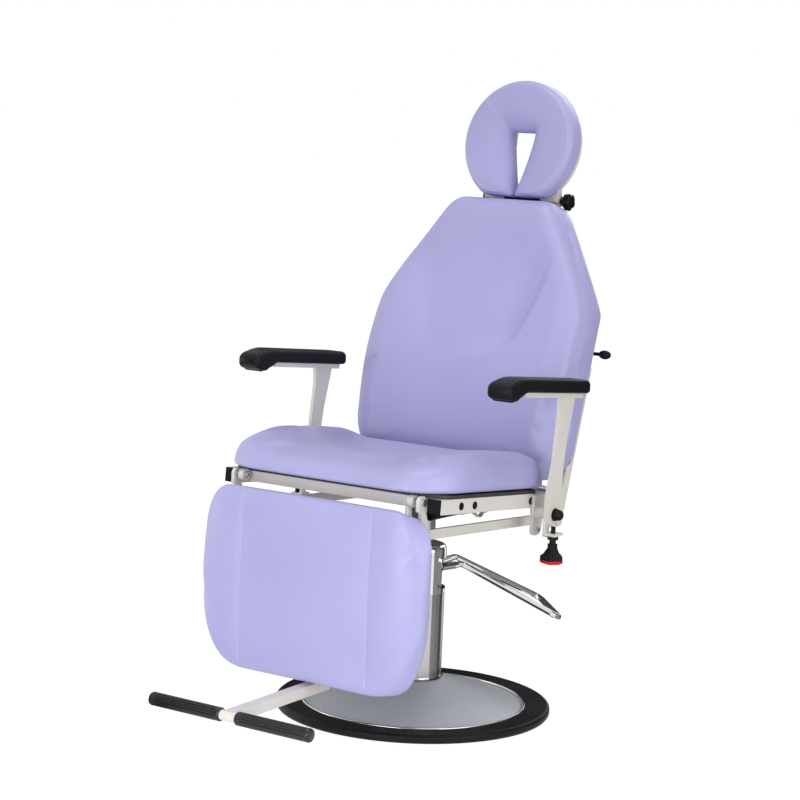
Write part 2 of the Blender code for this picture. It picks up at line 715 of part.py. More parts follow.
def seat_upholstery():
    half = FRAME_HALF - BOARD_INSET
    edge = rounded([(-half, BOARD_FRONT, 0.05), (half, BOARD_FRONT, 0.05),
                    (half, SEAT_BACK - 0.02, 0.02), (-half, SEAT_BACK - 0.02, 0.02)])
    plate("seat_board", [edge], BOARD, PLYWOOD, seat_axis, location=(0, 0, FIT + BOARD / 2))
    bottom = BOARD + FIT * 2
    rings = []
    for x, inset in stations(SEAT_HALF, SEAT_EDGE, 10, steps=6):
        drawn = inset / SEAT_EDGE
        front = SEAT_FRONT + corner_drop(x, SEAT_HALF, SEAT_CORNER) + drawn * 0.010
        back = SEAT_BACK - corner_drop(x, SEAT_HALF, SEAT_CORNER_BACK) - drawn * 0.008
        top = bottom + SEAT_THICK + SEAT_BOLSTER * bump(abs(x), SEAT_HALF * 0.90, 0.12)
        base = bottom + drawn * 0.008
        ring = []
        for along, height in section(front, back, top, base, (SEAT_NOSE, SEAT_TAIL), (0.010, 0.010), 12):
            lean = (height - base) / (top - base)
            sink = SEAT_SINK * min(1.0, max(0.0, along / SEAT_BACK - 0.2) / 0.8) ** 2
            ring.append((x, along, height - lean * (sink + seat_fall(x, along - front, back - along))))
        rings.append(ring)
    loft("seat_cushion", rings, VINYL, seat_axis)


def rail_top(y):
    """Height of the rails' upper faces at y."""
    return RAIL_FRONT_Z - (y - RAIL_FRONT_Y) * math.tan(TILT)


def rear_brackets():
    """Plates on the rails' rear ends that carry the recline shaft and the armrests."""
    front = ARM_PIVOT_Y - 0.017
    ring = SHAFT_RADIUS + 0.010
    step = BACK_AXIS_Y - ring - 0.002
    outline = rounded([
        (front, ARM_PIVOT_Z - 0.050, 0.012), (front + 0.032, ARM_PIVOT_Z - 0.050, 0.012),
        (front + 0.045, ARM_PIVOT_Z, 0.010), (BACK_AXIS_Y + ring, BACK_AXIS_Z - ring, 0.014),
        (BACK_AXIS_Y + ring, BACK_AXIS_Z + ring, 0.016), (BACK_AXIS_Y - ring * 0.6, BACK_AXIS_Z + ring, 0.010),
        (step, rail_top(step) - FIT * 3, 0.003), (front + 0.006, rail_top(front) - FIT * 3, 0.008)])
    hole = circle((BACK_AXIS_Y, BACK_AXIS_Z), SHAFT_RADIUS + FIT)
    for name, side in SIDES:
        bracket = plate("rear_bracket_" + name, [outline, hole], BRACKET_THICK, CREAM,
                        location=(side * BRACKET_X, 0, 0), rotation=UPRIGHT_PLATE)
        inner = side * (BRACKET_OUT - BRACKET_THICK / 2)
        outer = side * (ARM_X - POST_THICK / 2 - FIT)
        boss = rod("pivot_boss", (inner, ARM_PIVOT_Y, ARM_PIVOT_Z), (outer, ARM_PIVOT_Y, ARM_PIVOT_Z), 0.012, None)
        combine(bracket, boss, "UNION")
        cap_start = POST_THICK + FIT * 2
        dome = arc((0, cap_start + 0.008), 0.012, 90, 0, 5)
        profile = dome + [(0.012, cap_start + 0.002), (0.0135, cap_start + 0.002), (0.0135, cap_start),
                          (SCREW_RADIUS, cap_start), (SCREW_RADIUS, 0), (0, 0)]
        turned("arm_pivot_cap_" + name, profile, BLACK, closed=False, steps=20,
               location=(outer + side * FIT, ARM_PIVOT_Y, ARM_PIVOT_Z), rotation=(0, side * math.pi / 2, 0))


def link_bars():
    """Bars from the backrest's levers to the leg rest's lugs."""
    length = AXIS_SPAN / math.cos(SLOPE)
    half = LINK_HEIGHT / 2
    outline = rounded([(-half - 0.001, -half, half * 0.98), (length + half, -half, half * 0.98),
                       (length + half, half, half * 0.98), (-half - 0.001, half, half * 0.98)], 6)
    holes = [circle((0, 0), PIN_RADIUS + RUN), circle((length, 0), PIN_RADIUS + RUN)]
    for name, side in SIDES:
        plate("link_bar_" + name, [outline] + holes, LINK_THICK, CREAM, leg_axis,
              location=(side * LINK_X, LINK_BACK, -LINK_DOWN), rotation=(math.pi / 2, SLOPE, math.pi / 2))


def link_pin(name, side, across, up, parent):
    """Stub pin that a link bar turns on."""
    inner = side * (LINK_X - LINK_THICK / 2)
    outer = side * (LUG_X - LUG_THICK / 4)
    return rod(name, (inner, across, up), (outer, across, up), PIN_RADIUS, None, parent)


def leg_rest():
    back = LEG_BACK - LEG_AXIS_Y
    face = LEG_FRONT - LEG_AXIS_Y
    top = LEG_TOP - LEG_AXIS_Z
    bottom = LEG_BOTTOM - LEG_AXIS_Z
    rings = []
    for x, inset in stations(LEG_HALF, LEG_EDGE, 10, (LEG_SEAM,), 5):
        inset *= LEG_EDGE_DEPTH / LEG_EDGE
        high = top - oval_drop(x, LEG_HALF, LEG_CORNER)
        low = bottom + oval_drop(x, LEG_HALF, LEG_HEEL)
        rear_high = top - LEG_TOP_FALL - oval_drop(x, LEG_HALF, LEG_CORNER_BACK)
        rear_low = bottom + oval_drop(x, LEG_HALF, LEG_HEEL_BACK)
        front = -face - inset
        base = -back + inset * 0.3
        seam = SEAM_DEPTH * (abs(abs(x) - LEG_SEAM) < 0.001)
        room = min(high - low, front - base) * 0.4
        radii = [min(radius, room) for radius in (0.022, 0.016, 0.010, 0.008)]
        ring = []
        for along, across in section(low, high, front - seam, base, radii[:2], radii[2:], 8):
            deep = (front - across) / (front - base)
            share = (along - low) / (high - low)
            flare = deep * ((1 - share) * (rear_low - low) + share * (rear_high - high))
            crown = 0.004 * bump(along, (low + high) / 2, (high - low) / 2)
            ring.append((x, -across - (crown if across > front - 0.005 else 0), along + flare))
        rings.append(ring)
    loft("leg_cushion", rings, VINYL, leg_axis)
    trim = 0.020
    board_top = top - LEG_TOP_FALL - trim * 0.5
    edge = rounded([(-LEG_HALF + trim, bottom + trim, 0.11), (LEG_HALF - trim, bottom + trim, 0.11),
                    (LEG_HALF - trim, board_top, 0.05), (-LEG_HALF + trim, board_top, 0.05)])
    board_y = back + FIT + LEG_BOARD / 2
    plate("leg_board", [edge], LEG_BOARD, PLYWOOD, leg_axis, location=(0, board_y, 0), rotation=(math.pi / 2, 0, 0))
    behind = board_y + LEG_BOARD / 2 + FIT
    lug = rounded([(-KNUCKLE_RADIUS, KNUCKLE_RADIUS, 0.0115), (-KNUCKLE_RADIUS, -0.018, 0.004), (behind, -0.024, 0),
                   (behind, -0.175, 0.004), (behind + 0.026, -0.165, 0.010), (behind + 0.029, -LINK_DOWN + 0.012, 0.012),
                   (KNUCKLE_RADIUS, -0.020, 0.010), (KNUCKLE_RADIUS, KNUCKLE_RADIUS, 0.0115)])
    hole = circle((0, 0), PIN_RADIUS + FIT)
    for name, side in SIDES:
        piece = plate("leg_lug_" + name, [lug, hole], LUG_THICK, CREAM, leg_axis,
                      location=(side * LUG_X, 0, 0), rotation=UPRIGHT_PLATE)
        combine(piece, link_pin("leg_link_pin", side, LINK_BACK, -LINK_DOWN, leg_axis), "UNION")
    footrest(behind)


def footrest(behind):
    """T-shaped footrest whose upright slides in a guide behind the leg rest."""
    wall = SHEET + RUN
    half = STEM_WIDTH / 2
    rear = behind + STEM_DEPTH + 2 * wall
    low = GUIDE_BOTTOM - LEG_AXIS_Z
    high = GUIDE_TOP - LEG_AXIS_Z
    square_tube("footrest_guide", (-half - wall, behind, low), (half + wall, rear, high), 2, CREAM, leg_axis)
    stem_front = behind + wall
    stem_back = stem_front + STEM_DEPTH
    rise = math.radians(STEM_RISE)
    upright_y = stem_back + LEG_AXIS_Y
    heel = FOOT_Z - STEM_DEPTH / 2 + (upright_y - FOOT_Y) * math.tan(rise)
    stem = block("footrest_stem", (-half, stem_front, heel - LEG_AXIS_Z), (half, stem_back, STEM_TOP - LEG_AXIS_Z),
                 CREAM, leg_axis)
    run = (upright_y - FOOT_Y) / math.cos(rise)
    arm = block("stem_arm", (-half, FOOT_TUBE * 0.5, -STEM_DEPTH / 2), (half, run - 0.001, STEM_DEPTH / 2), None,
                location=(0, FOOT_Y, FOOT_Z), rotation=(rise, 0, 0))
    combine(stem, arm, "UNION")
    bar = rod("footrest_tube", (-FOOT_HALF + 0.004, 0, 0), (FOOT_HALF - 0.004, 0, 0), FOOT_TUBE, None,
              location=(0, FOOT_Y, FOOT_Z))
    combine(stem, bar, "UNION")
    bore = FOOT_TUBE + FIT
    length = FOOT_HALF - GRIP_GAP
    tip = 0.003
    grip = [(0, length), (GRIP_RADIUS - tip, length), (GRIP_RADIUS, length - tip), (GRIP_RADIUS, 0), (bore, 0),
            (bore, length - 0.0037), (0, length - 0.0037)]
    for name, side in SIDES:
        turned("footrest_grip_" + name, grip, RUBBER, closed=False, steps=20,
               location=(side * GRIP_GAP, FOOT_Y, FOOT_Z), rotation=(0, side * math.pi / 2, 0))
    shaft = half + wall + FIT
    middle = ((stem_front + stem_back) / 2, (low + high) / 2)
    knob = [(0, 0.028), (0.009, 0.028), (0.012, 0.025), (0.012, 0.012), (0.006, 0.010), (0.006, 0), (0, 0)]
    turned("footrest_knob", knob, BLACK, leg_axis, closed=False, steps=16,
           location=(shaft, middle[0], middle[1]), rotation=(0, math.pi / 2, 0))


def back_outline(x):
    """Lower and upper end of the backrest at x, measured along the back."""
    slope = (BACK_TOP - BACK_BULGE) / (BACK_HALF - BACK_TOP_HALF)
    line = BACK_TOP - slope * (abs(x) - BACK_TOP_HALF)
    blend = 0.030
    gap = BACK_TOP - line
    if abs(gap) < blend:
        high = BACK_TOP - (gap + blend) ** 2 / (4 * blend)
    else:
        high = min(BACK_TOP, line)
    return BACK_LOW + corner_drop(x, BACK_HALF, 0.070), high


def back_relief(x, along):
    """Swelling of the backrest's face: a lumbar roll, side bolsters and a hollow above."""
    share = (along - BACK_LOW) / (BACK_TOP - BACK_LOW)
    roll = LUMBAR * bump(share, 0.36, 0.34)
    bolster = 0.012 * bump(abs(x), BACK_HALF * 0.88, 0.13) * bump(share, 0.42, 0.42)
    hollow = 0.010 * bump(x, 0, 0.16) * bump(share, 0.74, 0.26)
    return roll + bolster - hollow


def backrest():
    face = -BACK_FRONT
    back = BACK_FRONT + BACK_THICK
    rings = []
    for x, inset in stations(BACK_HALF, BACK_EDGE, 12, steps=5):
        inset *= BACK_EDGE_DEPTH / BACK_EDGE
        low, high = back_outline(x)
        low += inset * 0.30
        high -= inset * 0.30
        front = face - inset
        ring = []
        for along, across in section(low, high, front, -back + inset * 0.10, (0.032, 0.034), (0.016, 0.010), 18):
            deep = (front - across) / (front + back)
            brow = BACK_BROW[1] * rounding(max(0.0, 1 - (high - along) / BACK_BROW[0])) * (1 - deep)
            swell = back_relief(x, along) if across > front - 0.004 else 0
            ring.append((x * (1 - BACK_TAPER * deep), brow - across - swell, along))
        rings.append(ring)
    loft("back_cushion", rings, VINYL, back_axis)
    trim = 0.022
    top_half = BACK_TOP_HALF - trim * 0.4
    edge = rounded([(-BACK_HALF + trim, BACK_LOW + trim, 0.05), (BACK_HALF - trim, BACK_LOW + trim, 0.05),
                    (BACK_HALF - trim, BACK_BULGE - trim * 0.4, 0.03), (top_half, BACK_TOP - trim, 0.03),
                    (-top_half, BACK_TOP - trim, 0.03), (-BACK_HALF + trim, BACK_BULGE - trim * 0.4, 0.03)])
    board_y = back + FIT + BACK_BOARD / 2
    plate("back_board", [edge], BACK_BOARD, PLYWOOD, back_axis, location=(0, board_y, 0), rotation=(math.pi / 2, 0, 0))
    behind = board_y + BACK_BOARD / 2 + FIT
    back_arms(behind)
    reach = BRACKET_OUT
    rod("recline_shaft", (-reach, 0, 0), (reach, 0, 0), SHAFT_RADIUS, STEEL, back_axis)
    gas_lever()
    release_lever(behind)
    head_bracket(behind)


def back_arms(behind):
    """Cranked side plates: link lever below the shaft, upright behind the board."""
    turn = Matrix.Rotation(RECLINE, 2)
    pin = turn @ Vector((LINK_BACK, -LINK_DOWN))
    ring = SHAFT_RADIUS + 0.008
    lobe = PIN_RADIUS + 0.0085
    rear = behind + 0.026
    outline = rounded([
        (-ring, ring * 0.8, 0.011), (-ring, -ring * 0.8, 0.011), (pin.x - lobe, pin.y - lobe * 0.6, 0.009),
        (pin.x + lobe, pin.y - lobe, 0.011), (pin.x + lobe + 0.006, -0.026, 0.012), (behind, -0.030, 0.012),
        (behind + 0.010, -0.062, 0.010), (rear + 0.002, -0.060, 0.012), (rear, 0.000, 0.008), (rear - 0.002, 0.300, 0.012),
        (behind, 0.300, 0.004), (behind, ring * 0.8, 0.006)])
    hole = circle((0, 0), SHAFT_RADIUS + FIT)
    for name, side in SIDES:
        arm = plate("back_arm_" + name, [outline, hole], LUG_THICK, CREAM, back_axis,
                    location=(side * LUG_X, 0, 0), rotation=UPRIGHT_PLATE)
        combine(arm, link_pin("back_link_pin", side, pin.x, pin.y, back_axis), "UNION")


def gas_crank():
    """Gas-spring pin seen from the recline axis, and the spring line's height below it."""
    half = math.radians(RECLINE_RANGE) / 2
    back, down = GAS_CRANK * math.sin(half), GAS_CRANK * math.cos(half)
    return back, down, (GAS_CRANK + down) / 2


def gas_lever():
    back, down, _ = gas_crank()
    pin = Matrix.Rotation(RECLINE, 2) @ Vector((back, -down))
    ring = SHAFT_RADIUS + 0.006
    side = Vector((pin.y, -pin.x)).normalized()
    tip = pin * (1 + 0.010 / pin.length)
    root = pin * (-ring / pin.length)
    corners = [root + side * ring, root - side * ring, tip - side * 0.010, tip + side * 0.010]
    outline = rounded([(spot.x, spot.y, 0.0095) for spot in corners])
    hole = circle((0, 0), SHAFT_RADIUS + FIT)
    lever = plate("gas_lever", [outline, hole], LUG_THICK, STEEL, back_axis,
                  location=(GAS_LEVER_X, 0, 0), rotation=UPRIGHT_PLATE)
    stub = rod("gas_pin", (GAS_X - 0.008, pin.x, pin.y), (GAS_LEVER_X, pin.x, pin.y), GAS_ROD, None, back_axis)
    combine(lever, stub, "UNION")


def gas_spring():
    back, _, drop = gas_crank()
    line = BACK_AXIS_Z - drop
    eye_y = BACK_AXIS_Y + back
    bore = GAS_ROD + RUN
    tube = [(0, 0), (GAS_RADIUS, 0), (GAS_RADIUS, -GAS_LENGTH), (bore, -GAS_LENGTH), (bore, -0.012), (0, -0.012)]
    turned("gas_cylinder", tube, BLACK, closed=False, steps=16,
           location=(GAS_X, GAS_FRONT, line), rotation=(math.pi / 2, 0, 0))
    start = GAS_FRONT + GAS_LENGTH * 0.45
    piston = rod("gas_rod", (GAS_X, start, line), (GAS_X, eye_y - GAS_EYE_HOLE - 0.001, line), GAS_ROD, CHROME, sides=12)
    eye = plate("rod_eye", [circle((0, 0), GAS_EYE), circle((0, 0), GAS_EYE_HOLE)], 0.009, CHROME,
                location=(GAS_X, eye_y, line), rotation=UPRIGHT_PLATE)
    combine(piston, eye, "UNION")
    bar_y = RAIL_FRONT_Y + (REAR_BAR_START + REAR_BAR[0] / 2) * math.cos(TILT)
    bar_under = RAIL_FRONT_Z - (REAR_BAR_START + REAR_BAR[0]) * math.sin(TILT) - REAR_BAR[1] * math.cos(TILT)
    clamp = block("gas_clamp", (GAS_X - 0.016, bar_y - 0.007, line - GAS_RADIUS - 0.004),
                  (GAS_X + 0.016, bar_y + 0.007, bar_under - FIT), STEEL)
    drill = rod("clamp_drill", (GAS_X, bar_y - 0.02, line), (GAS_X, bar_y + 0.02, line), GAS_RADIUS + FIT, None)
    combine(clamp, drill, "DIFFERENCE")


def release_lever(behind):
    """Small ball lever at the back's left edge that frees the gas spring."""
    across = behind + LEVER_ROD + FIT
    lever = rod("recline_lever", (LEVER_X, across, LEVER_UP), (LEVER_X + LEVER_REACH, across, LEVER_UP), LEVER_ROD,
                BLACK, back_axis, sides=12)
    bm = bmesh.new()
    spot = Matrix.Translation((LEVER_X + LEVER_REACH, across, LEVER_UP)) @ Matrix.Diagonal((1.5, 1, 1, 1))
    bmesh.ops.create_uvsphere(bm, u_segments=12, v_segments=8, radius=LEVER_BALL, matrix=spot)
    combine(lever, add("lever_ball", finished(bm, "lever_ball"), None, back_axis), "UNION")


def head_bracket(behind):
    """Bracket on the back board that holds the headrest's axle."""
    axle_y, axle_z = HEAD_AXIS_BACK, HEAD_AXIS_UP
    bracket = block("headrest_bracket", (-0.030, behind, axle_z - 0.160), (0.030, behind + 0.008, axle_z + 0.004),
                    BLACK, back_axis)
    boss = rod("axle_boss", (-0.030, axle_y, axle_z), (0.030, axle_y, axle_z), AXLE_RADIUS + 0.006, None, back_axis)
    combine(bracket, boss, "UNION")
    drill = rod("axle_drill", (-0.05, axle_y, axle_z), (0.05, axle_y, axle_z), AXLE_RADIUS + FIT, None, back_axis)
    combine(bracket, drill, "DIFFERENCE")


def slot_point(share):
    """Point on the right half of the face slot's edge, from its top middle to its tip."""
    turn_share = 0.22
    if share < turn_share:
        return SLOT_TOP_HALF * share / turn_share, SLOT_RISE
    down = (share - turn_share) / (1 - turn_share)
    return (SLOT_TOP_HALF + (LOBE_GAP - SLOT_TOP_HALF) * down, SLOT_RISE - (SLOT_RISE + SLOT_POINT) * down)


def head_section(span, thick, cuts=7):
    """Section of the headrest pad from the slot outwards: a roll with an upright outer side."""
    round_off = min(0.018, span * 0.3)
    crest = span * HEAD_CREST
    loop = [(0, 0)]
    for cut in range(cuts):
        along = crest * (1 - math.cos(math.pi / 2 * cut / cuts))
        loop.append((along, HEAD_LIP + (thick - HEAD_LIP) * math.sqrt(1 - (1 - along / crest) ** 2)))
    loop += [(crest + (span - round_off - crest) * cut / 2, thick) for cut in range(2)]
    loop += arc((span - round_off, thick - round_off), round_off, 90, 0, 4)
    heel = min(0.008, span * 0.3)
    return loop + arc((span - heel, heel), heel, 0, -90, 2)


def head_wedge(up):
    """How much further forward the plate's face is than at its top."""
    return HEAD_WEDGE * (HEAD_CENTRE_UP + HEAD_RADIUS - up) / (HEAD_CENTRE_UP + HEAD_RADIUS)


def headrest():
    plate_y = HEAD_PLATE / 2 - AXLE_RADIUS - HEAD_PLATE_AHEAD
    face = plate_y - HEAD_PLATE / 2 - FIT
    rings = []
    count = 12
    for step in range(-count, count + 1):
        share = abs(step) / count
        side = 1 if step >= 0 else -1
        inner = Vector(slot_point(share))
        angle = math.pi * share
        outer = Vector((max(LOBE_GAP, HEAD_RADIUS * math.sin(angle)), max(-HEAD_FLAT, HEAD_RADIUS * math.cos(angle))))
        span = (outer - inner).length
        thick = HEAD_THICK * (1 - 0.30 * max(0.0, (share - 0.8) / 0.2) ** 2)
        ring = []
        for along, across in head_section(span, thick):
            spot = inner.lerp(outer, along / span)
            up = HEAD_CENTRE_UP + spot.y
            wedge = head_wedge(up) * (1 - across / thick)
            ring.append((side * spot.x, face - across - wedge, up))
        rings.append(ring)
    loft("headrest_pad", rings, VINYL, head_axis)
    headrest_plate(plate_y)
    axle = rod("headrest_axle", (-AXLE_HALF, 0, 0), (AXLE_HALF, 0, 0), AXLE_RADIUS, BLACK, head_axis)
    nut = rod("axle_nut", (-AXLE_HALF - 0.010, 0, 0), (-AXLE_HALF + 0.002, 0, 0), AXLE_RADIUS + 0.006, None, head_axis,
              sides=6)
    combine(axle, nut, "UNION")
    lobed("headrest_knob", [(0, 0.012, 0), (0.004, 0.017, 0.0015), (0.016, 0.018, 0.0025), (0.020, 0.013, 0.001)], 5,
          BLACK, head_axis, location=(AXLE_HALF + FIT, 0, 0), rotation=(0, math.pi / 2, 0))


def headrest_plate(plate_y):
    """Horseshoe plate behind the pad with two ears down to the axle."""
    ear_out = EAR_X + EAR_WIDTH / 2
    ear_in = EAR_X - EAR_WIDTH / 2
    middle = HEAD_CENTRE_UP
    edge = arc((0, middle), HEAD_PLATE_RADIUS, -44, 224, 26)
    half = SLOT_TOP_HALF + 0.006
    rise = middle + SLOT_RISE + 0.006
    edge += [(-ear_out, 0.012), (-ear_out + 0.004, -0.004), (-ear_in - 0.002, -0.004), (-ear_in, 0.004),
             (-half, 0.030), (-half, rise), (half, rise), (half, 0.030),
             (ear_in, 0.004), (ear_in + 0.002, -0.004), (ear_out - 0.004, -0.004), (ear_out, 0.012)]
    item = plate("headrest_plate", [edge], HEAD_PLATE, CREAM, head_axis,
                 location=(0, plate_y, 0), rotation=(math.pi / 2, 0, 0))
    for vert in item.data.vertices:
        if vert.co.z > 0:
            vert.co.z += head_wedge(vert.co.y)
    for name, side in SIDES:
        barrel = rod("ear_barrel", (side * ear_in + side * 0.002, 0, 0), (side * ear_out - side * 0.004, 0, 0),
                     AXLE_RADIUS + 0.005, None, head_axis)
        combine(item, barrel, "UNION")
    drill = rod("ear_drill", (-ear_out * 1.1, 0, 0), (ear_out * 1.1, 0, 0), AXLE_RADIUS + FIT, None, head_axis)
    combine(item, drill, "DIFFERENCE")


def lobed(name, levels, lobes, mat, parent=None, sides=30, **place):
    """A stack of (height, radius, lobe depth) levels: a star knob with its stem."""
    rings = []
    for height, radius, depth in levels:
        ring = []
        for index in range(sides):
            angle = math.tau * index / sides
            reach = radius + depth * math.cos(lobes * angle)
            ring.append((reach * math.cos(angle), reach * math.sin(angle), height))
        rings.append(ring)
    return loft(name, rings, mat, parent, **place)


def arm_pad_ring(y):
    """Section of an arm pad: rounded rear, and a nose that turns down to finger grips."""
    ahead = y - ARM_TIP
    top = ARM_PAD_TOP - ARM_PAD_FALL * ahead / (ARM_REAR - ARM_TIP)
    bottom = top - ARM_PAD_THICK
    bottom -= ARM_NOSE * bump(ahead, ARM_NOSE_LENGTH * 0.42, ARM_NOSE_LENGTH * 0.86)
    bottom += 0.0022 * math.cos(math.tau * ahead / 0.016) * bump(ahead, ARM_NOSE_LENGTH * 0.45, ARM_NOSE_LENGTH * 0.45)
    top -= ARM_NOSE_FALL * max(0.0, 1 - ahead / ARM_NOSE_LENGTH) ** 2
    near = min(ahead / 0.016, (ARM_REAR - y) / 0.014)
    pinch = math.sqrt(max(0.0, 1 - (1 - min(1.0, near)) ** 2))
    half = ARM_PAD_WIDTH / 2 * (0.62 + 0.38 * pinch)
    middle = (top + bottom) / 2
    tall = (top - bottom) / 2 * (0.40 + 0.60 * pinch)
    face, heel = min(half, tall) * 0.75, min(half, tall) * 0.5
    loop = section(-half, half, middle + tall, middle - tall, (face, face), (heel, heel), 2, 2)
    return [(across, y, height) for across, height in loop]


def armrests():
    rear_top = 0.086
    fall = math.atan(ARM_PAD_FALL / (ARM_REAR - ARM_TIP))
    outline = rounded([
        (-0.012, 0.424, 0.004), (0.000, 0.424, 0.002), (0.002, 0.443, 0.002), (0.030, 0.446, 0.012),
        (0.048, 0.500, 0.030), (0.048, 0.562, 0.08), (0.058, 0.620, 0.10), (rear_top, POST_TOP + 0.006, 0.004),
        (0.022, POST_TOP + 0.006, 0.004), (0.025, 0.680, 0.03), (0.010, 0.575, 0.10), (-0.007, 0.515, 0.06)], 3)
    hole = circle((ARM_PIVOT_Y, ARM_PIVOT_Z), SCREW_RADIUS + FIT)
    steps = 26
    eased = [0.5 - 0.5 * math.cos(math.pi * index / steps) for index in range(steps + 1)]
    spots = [ARM_TIP + (ARM_REAR - ARM_TIP) * (0.45 * index / steps + 0.55 * ease)
             for index, ease in enumerate(eased)]
    rings = [arm_pad_ring(min(max(y, ARM_TIP + 0.0015), ARM_REAR - 0.0015)) for y in spots]
    for name, side in SIDES:
        post = plate("arm_post_" + name, [outline, hole], POST_THICK, CREAM,
                     location=(side * ARM_X, 0, 0), rotation=UPRIGHT_PLATE)
        bar_top = ARM_PAD_TOP - ARM_PAD_THICK - FIT * 3
        bar = block("arm_bar", (-ARM_BAR_WIDTH / 2, ARM_BAR_FRONT - ARM_TIP, -ARM_BAR),
                    (ARM_BAR_WIDTH / 2, ARM_REAR - ARM_TIP - 0.012, 0), None,
                    location=(side * ARM_X, ARM_TIP, bar_top), rotation=(-fall, 0, 0))
        combine(post, bar, "UNION")
        low_x, high_x = sorted((side * (ARM_X - 0.001), side * (SCREW_X + 0.011)))
        tab = block("arm_tab", (low_x, -0.012, TAB_Z - TAB_THICK / 2), (high_x, 0.020, TAB_Z + TAB_THICK / 2), None)
        combine(post, tab, "UNION")
        drill = rod("tab_drill", (side * SCREW_X, SCREW_Y, TAB_Z - 0.02), (side * SCREW_X, SCREW_Y, TAB_Z + 0.02),
                    SCREW_RADIUS + FIT, None)
        combine(post, drill, "DIFFERENCE")
        loft("arm_pad_" + name, rings, BLACK, location=(side * ARM_X, 0, 0))
        under = TAB_Z - TAB_THICK / 2 - FIT
        knob = [(-0.056, 0.013, 0), (-0.053, 0.020, 0.002), (-0.051, 0.022, 0.003), (-0.041, 0.022, 0.003),
                (-0.037, 0.017, 0.002), (-0.024, 0.010, 0), (-0.0235, 0.0105, 0), (-0.016, 0.0105, 0),
                (-0.0155, 0.007, 0), (-0.007, 0.007, 0), (-0.0065, 0.0115, 0), (0, 0.0115, 0),
                (0.0001, SCREW_RADIUS, 0), (0.021, SCREW_RADIUS, 0)]
        lobed("arm_screw_" + name, knob, 5, BLACK, location=(side * SCREW_X, SCREW_Y, under))


floor_base()
foot_pump()
pedal()
seat_frame()
seat_upholstery()
rear_brackets()
link_bars()
leg_rest()
backrest()
gas_spring()
headrest()
armrests()
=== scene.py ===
"""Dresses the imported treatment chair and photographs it.

Rigid CAD pieces stay and get materials. The upholstery, the arm pads, the ribbed floor
rim and the foot grips are replaced by finer pieces, and small hardware is added.
Sizes are metres in the CAD frame: +Z up, the sitter faces -Y, +X at the left hand.
"""
import json
import math

import bmesh
import bpy
from mathutils import Matrix, Vector
from mathutils.bvhtree import BVHTree


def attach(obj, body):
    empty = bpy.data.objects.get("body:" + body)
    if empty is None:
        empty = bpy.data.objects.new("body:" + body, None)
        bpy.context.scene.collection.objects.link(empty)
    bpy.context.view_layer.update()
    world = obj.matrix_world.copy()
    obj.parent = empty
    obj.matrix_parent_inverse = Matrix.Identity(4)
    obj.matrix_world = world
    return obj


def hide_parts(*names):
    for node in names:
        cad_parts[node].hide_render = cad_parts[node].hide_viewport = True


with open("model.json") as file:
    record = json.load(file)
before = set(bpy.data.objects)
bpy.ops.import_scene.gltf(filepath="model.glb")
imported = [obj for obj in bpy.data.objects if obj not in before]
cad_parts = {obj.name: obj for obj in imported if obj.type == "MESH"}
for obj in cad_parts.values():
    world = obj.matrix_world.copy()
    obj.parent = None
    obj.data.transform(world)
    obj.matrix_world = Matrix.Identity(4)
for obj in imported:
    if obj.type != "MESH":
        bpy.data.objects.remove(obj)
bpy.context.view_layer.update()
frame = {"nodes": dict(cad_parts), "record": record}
NODES = frame["nodes"]
SIDES = (("left", 1), ("right", -1))


def frame_at(place, tilt=0.0):
    """Matrix of a working frame: its origin and its tilt backwards in degrees."""
    return Matrix.Translation(place) @ Matrix.Rotation(-math.radians(tilt), 4, "X")


# Working frames on the CAD's own axes
SEAT = frame_at((0, -0.333, 0.5333), 4.4)
LEG = frame_at((0, -0.348, 0.526))
BACK = frame_at((0, 0.085, 0.50437), 16.8)
HEAD = frame_at((0, 0.37451, 1.10691), 9.0)


# Materials

def shader(name, colour, roughness, metallic=0.0, coat=0.0, specular=0.5):
    """A Principled material and its nodes, with its constant values on the sockets."""
    mat = bpy.data.materials.new(name)
    mat.use_nodes = True
    tree = mat.node_tree
    bsdf = tree.nodes["Principled BSDF"]
    bsdf.inputs["Base Color"].default_value = (*colour, 1)
    bsdf.inputs["Roughness"].default_value = roughness
    bsdf.inputs["Metallic"].default_value = metallic
    bsdf.inputs["Coat Weight"].default_value = coat
    bsdf.inputs["Coat Roughness"].default_value = 0.15
    bsdf.inputs["Specular IOR Level"].default_value = specular
    return mat, tree, bsdf


def node(tree, kind, **values):
    made = tree.nodes.new(kind)
    for key, value in values.items():
        if key in made.inputs:
            made.inputs[key].default_value = value
        else:
            setattr(made, key, value)
    return made


def place_coordinates(tree, scale=(1, 1, 1)):
    """Object coordinates, which are the CAD frame, stretched by scale."""
    source = node(tree, "ShaderNodeTexCoord")
    mapping = node(tree, "ShaderNodeMapping", Scale=scale)
    tree.links.new(source.outputs["Object"], mapping.inputs["Vector"])
    return mapping.outputs["Vector"]


def noise_at(tree, vector, scale, detail=3.0, rough=0.5):
    made = node(tree, "ShaderNodeTexNoise", Scale=scale, Detail=detail, Roughness=rough)
    tree.links.new(vector, made.inputs["Vector"])
    return made.outputs["Fac"]


def vary_colour(tree, bsdf, factor, colour, dark, light):
    """Base colour that drifts between a darker and a lighter share of a colour."""
    ramp = node(tree, "ShaderNodeValToRGB")
    ramp.color_ramp.elements[0].position = 0.3
    ramp.color_ramp.elements[1].position = 0.7
    ramp.color_ramp.elements[0].color = (*[c * dark for c in colour], 1)
    ramp.color_ramp.elements[1].color = (*[min(1, c * light) for c in colour], 1)
    tree.links.new(factor, ramp.inputs["Fac"])
    tree.links.new(ramp.outputs["Color"], bsdf.inputs["Base Color"])


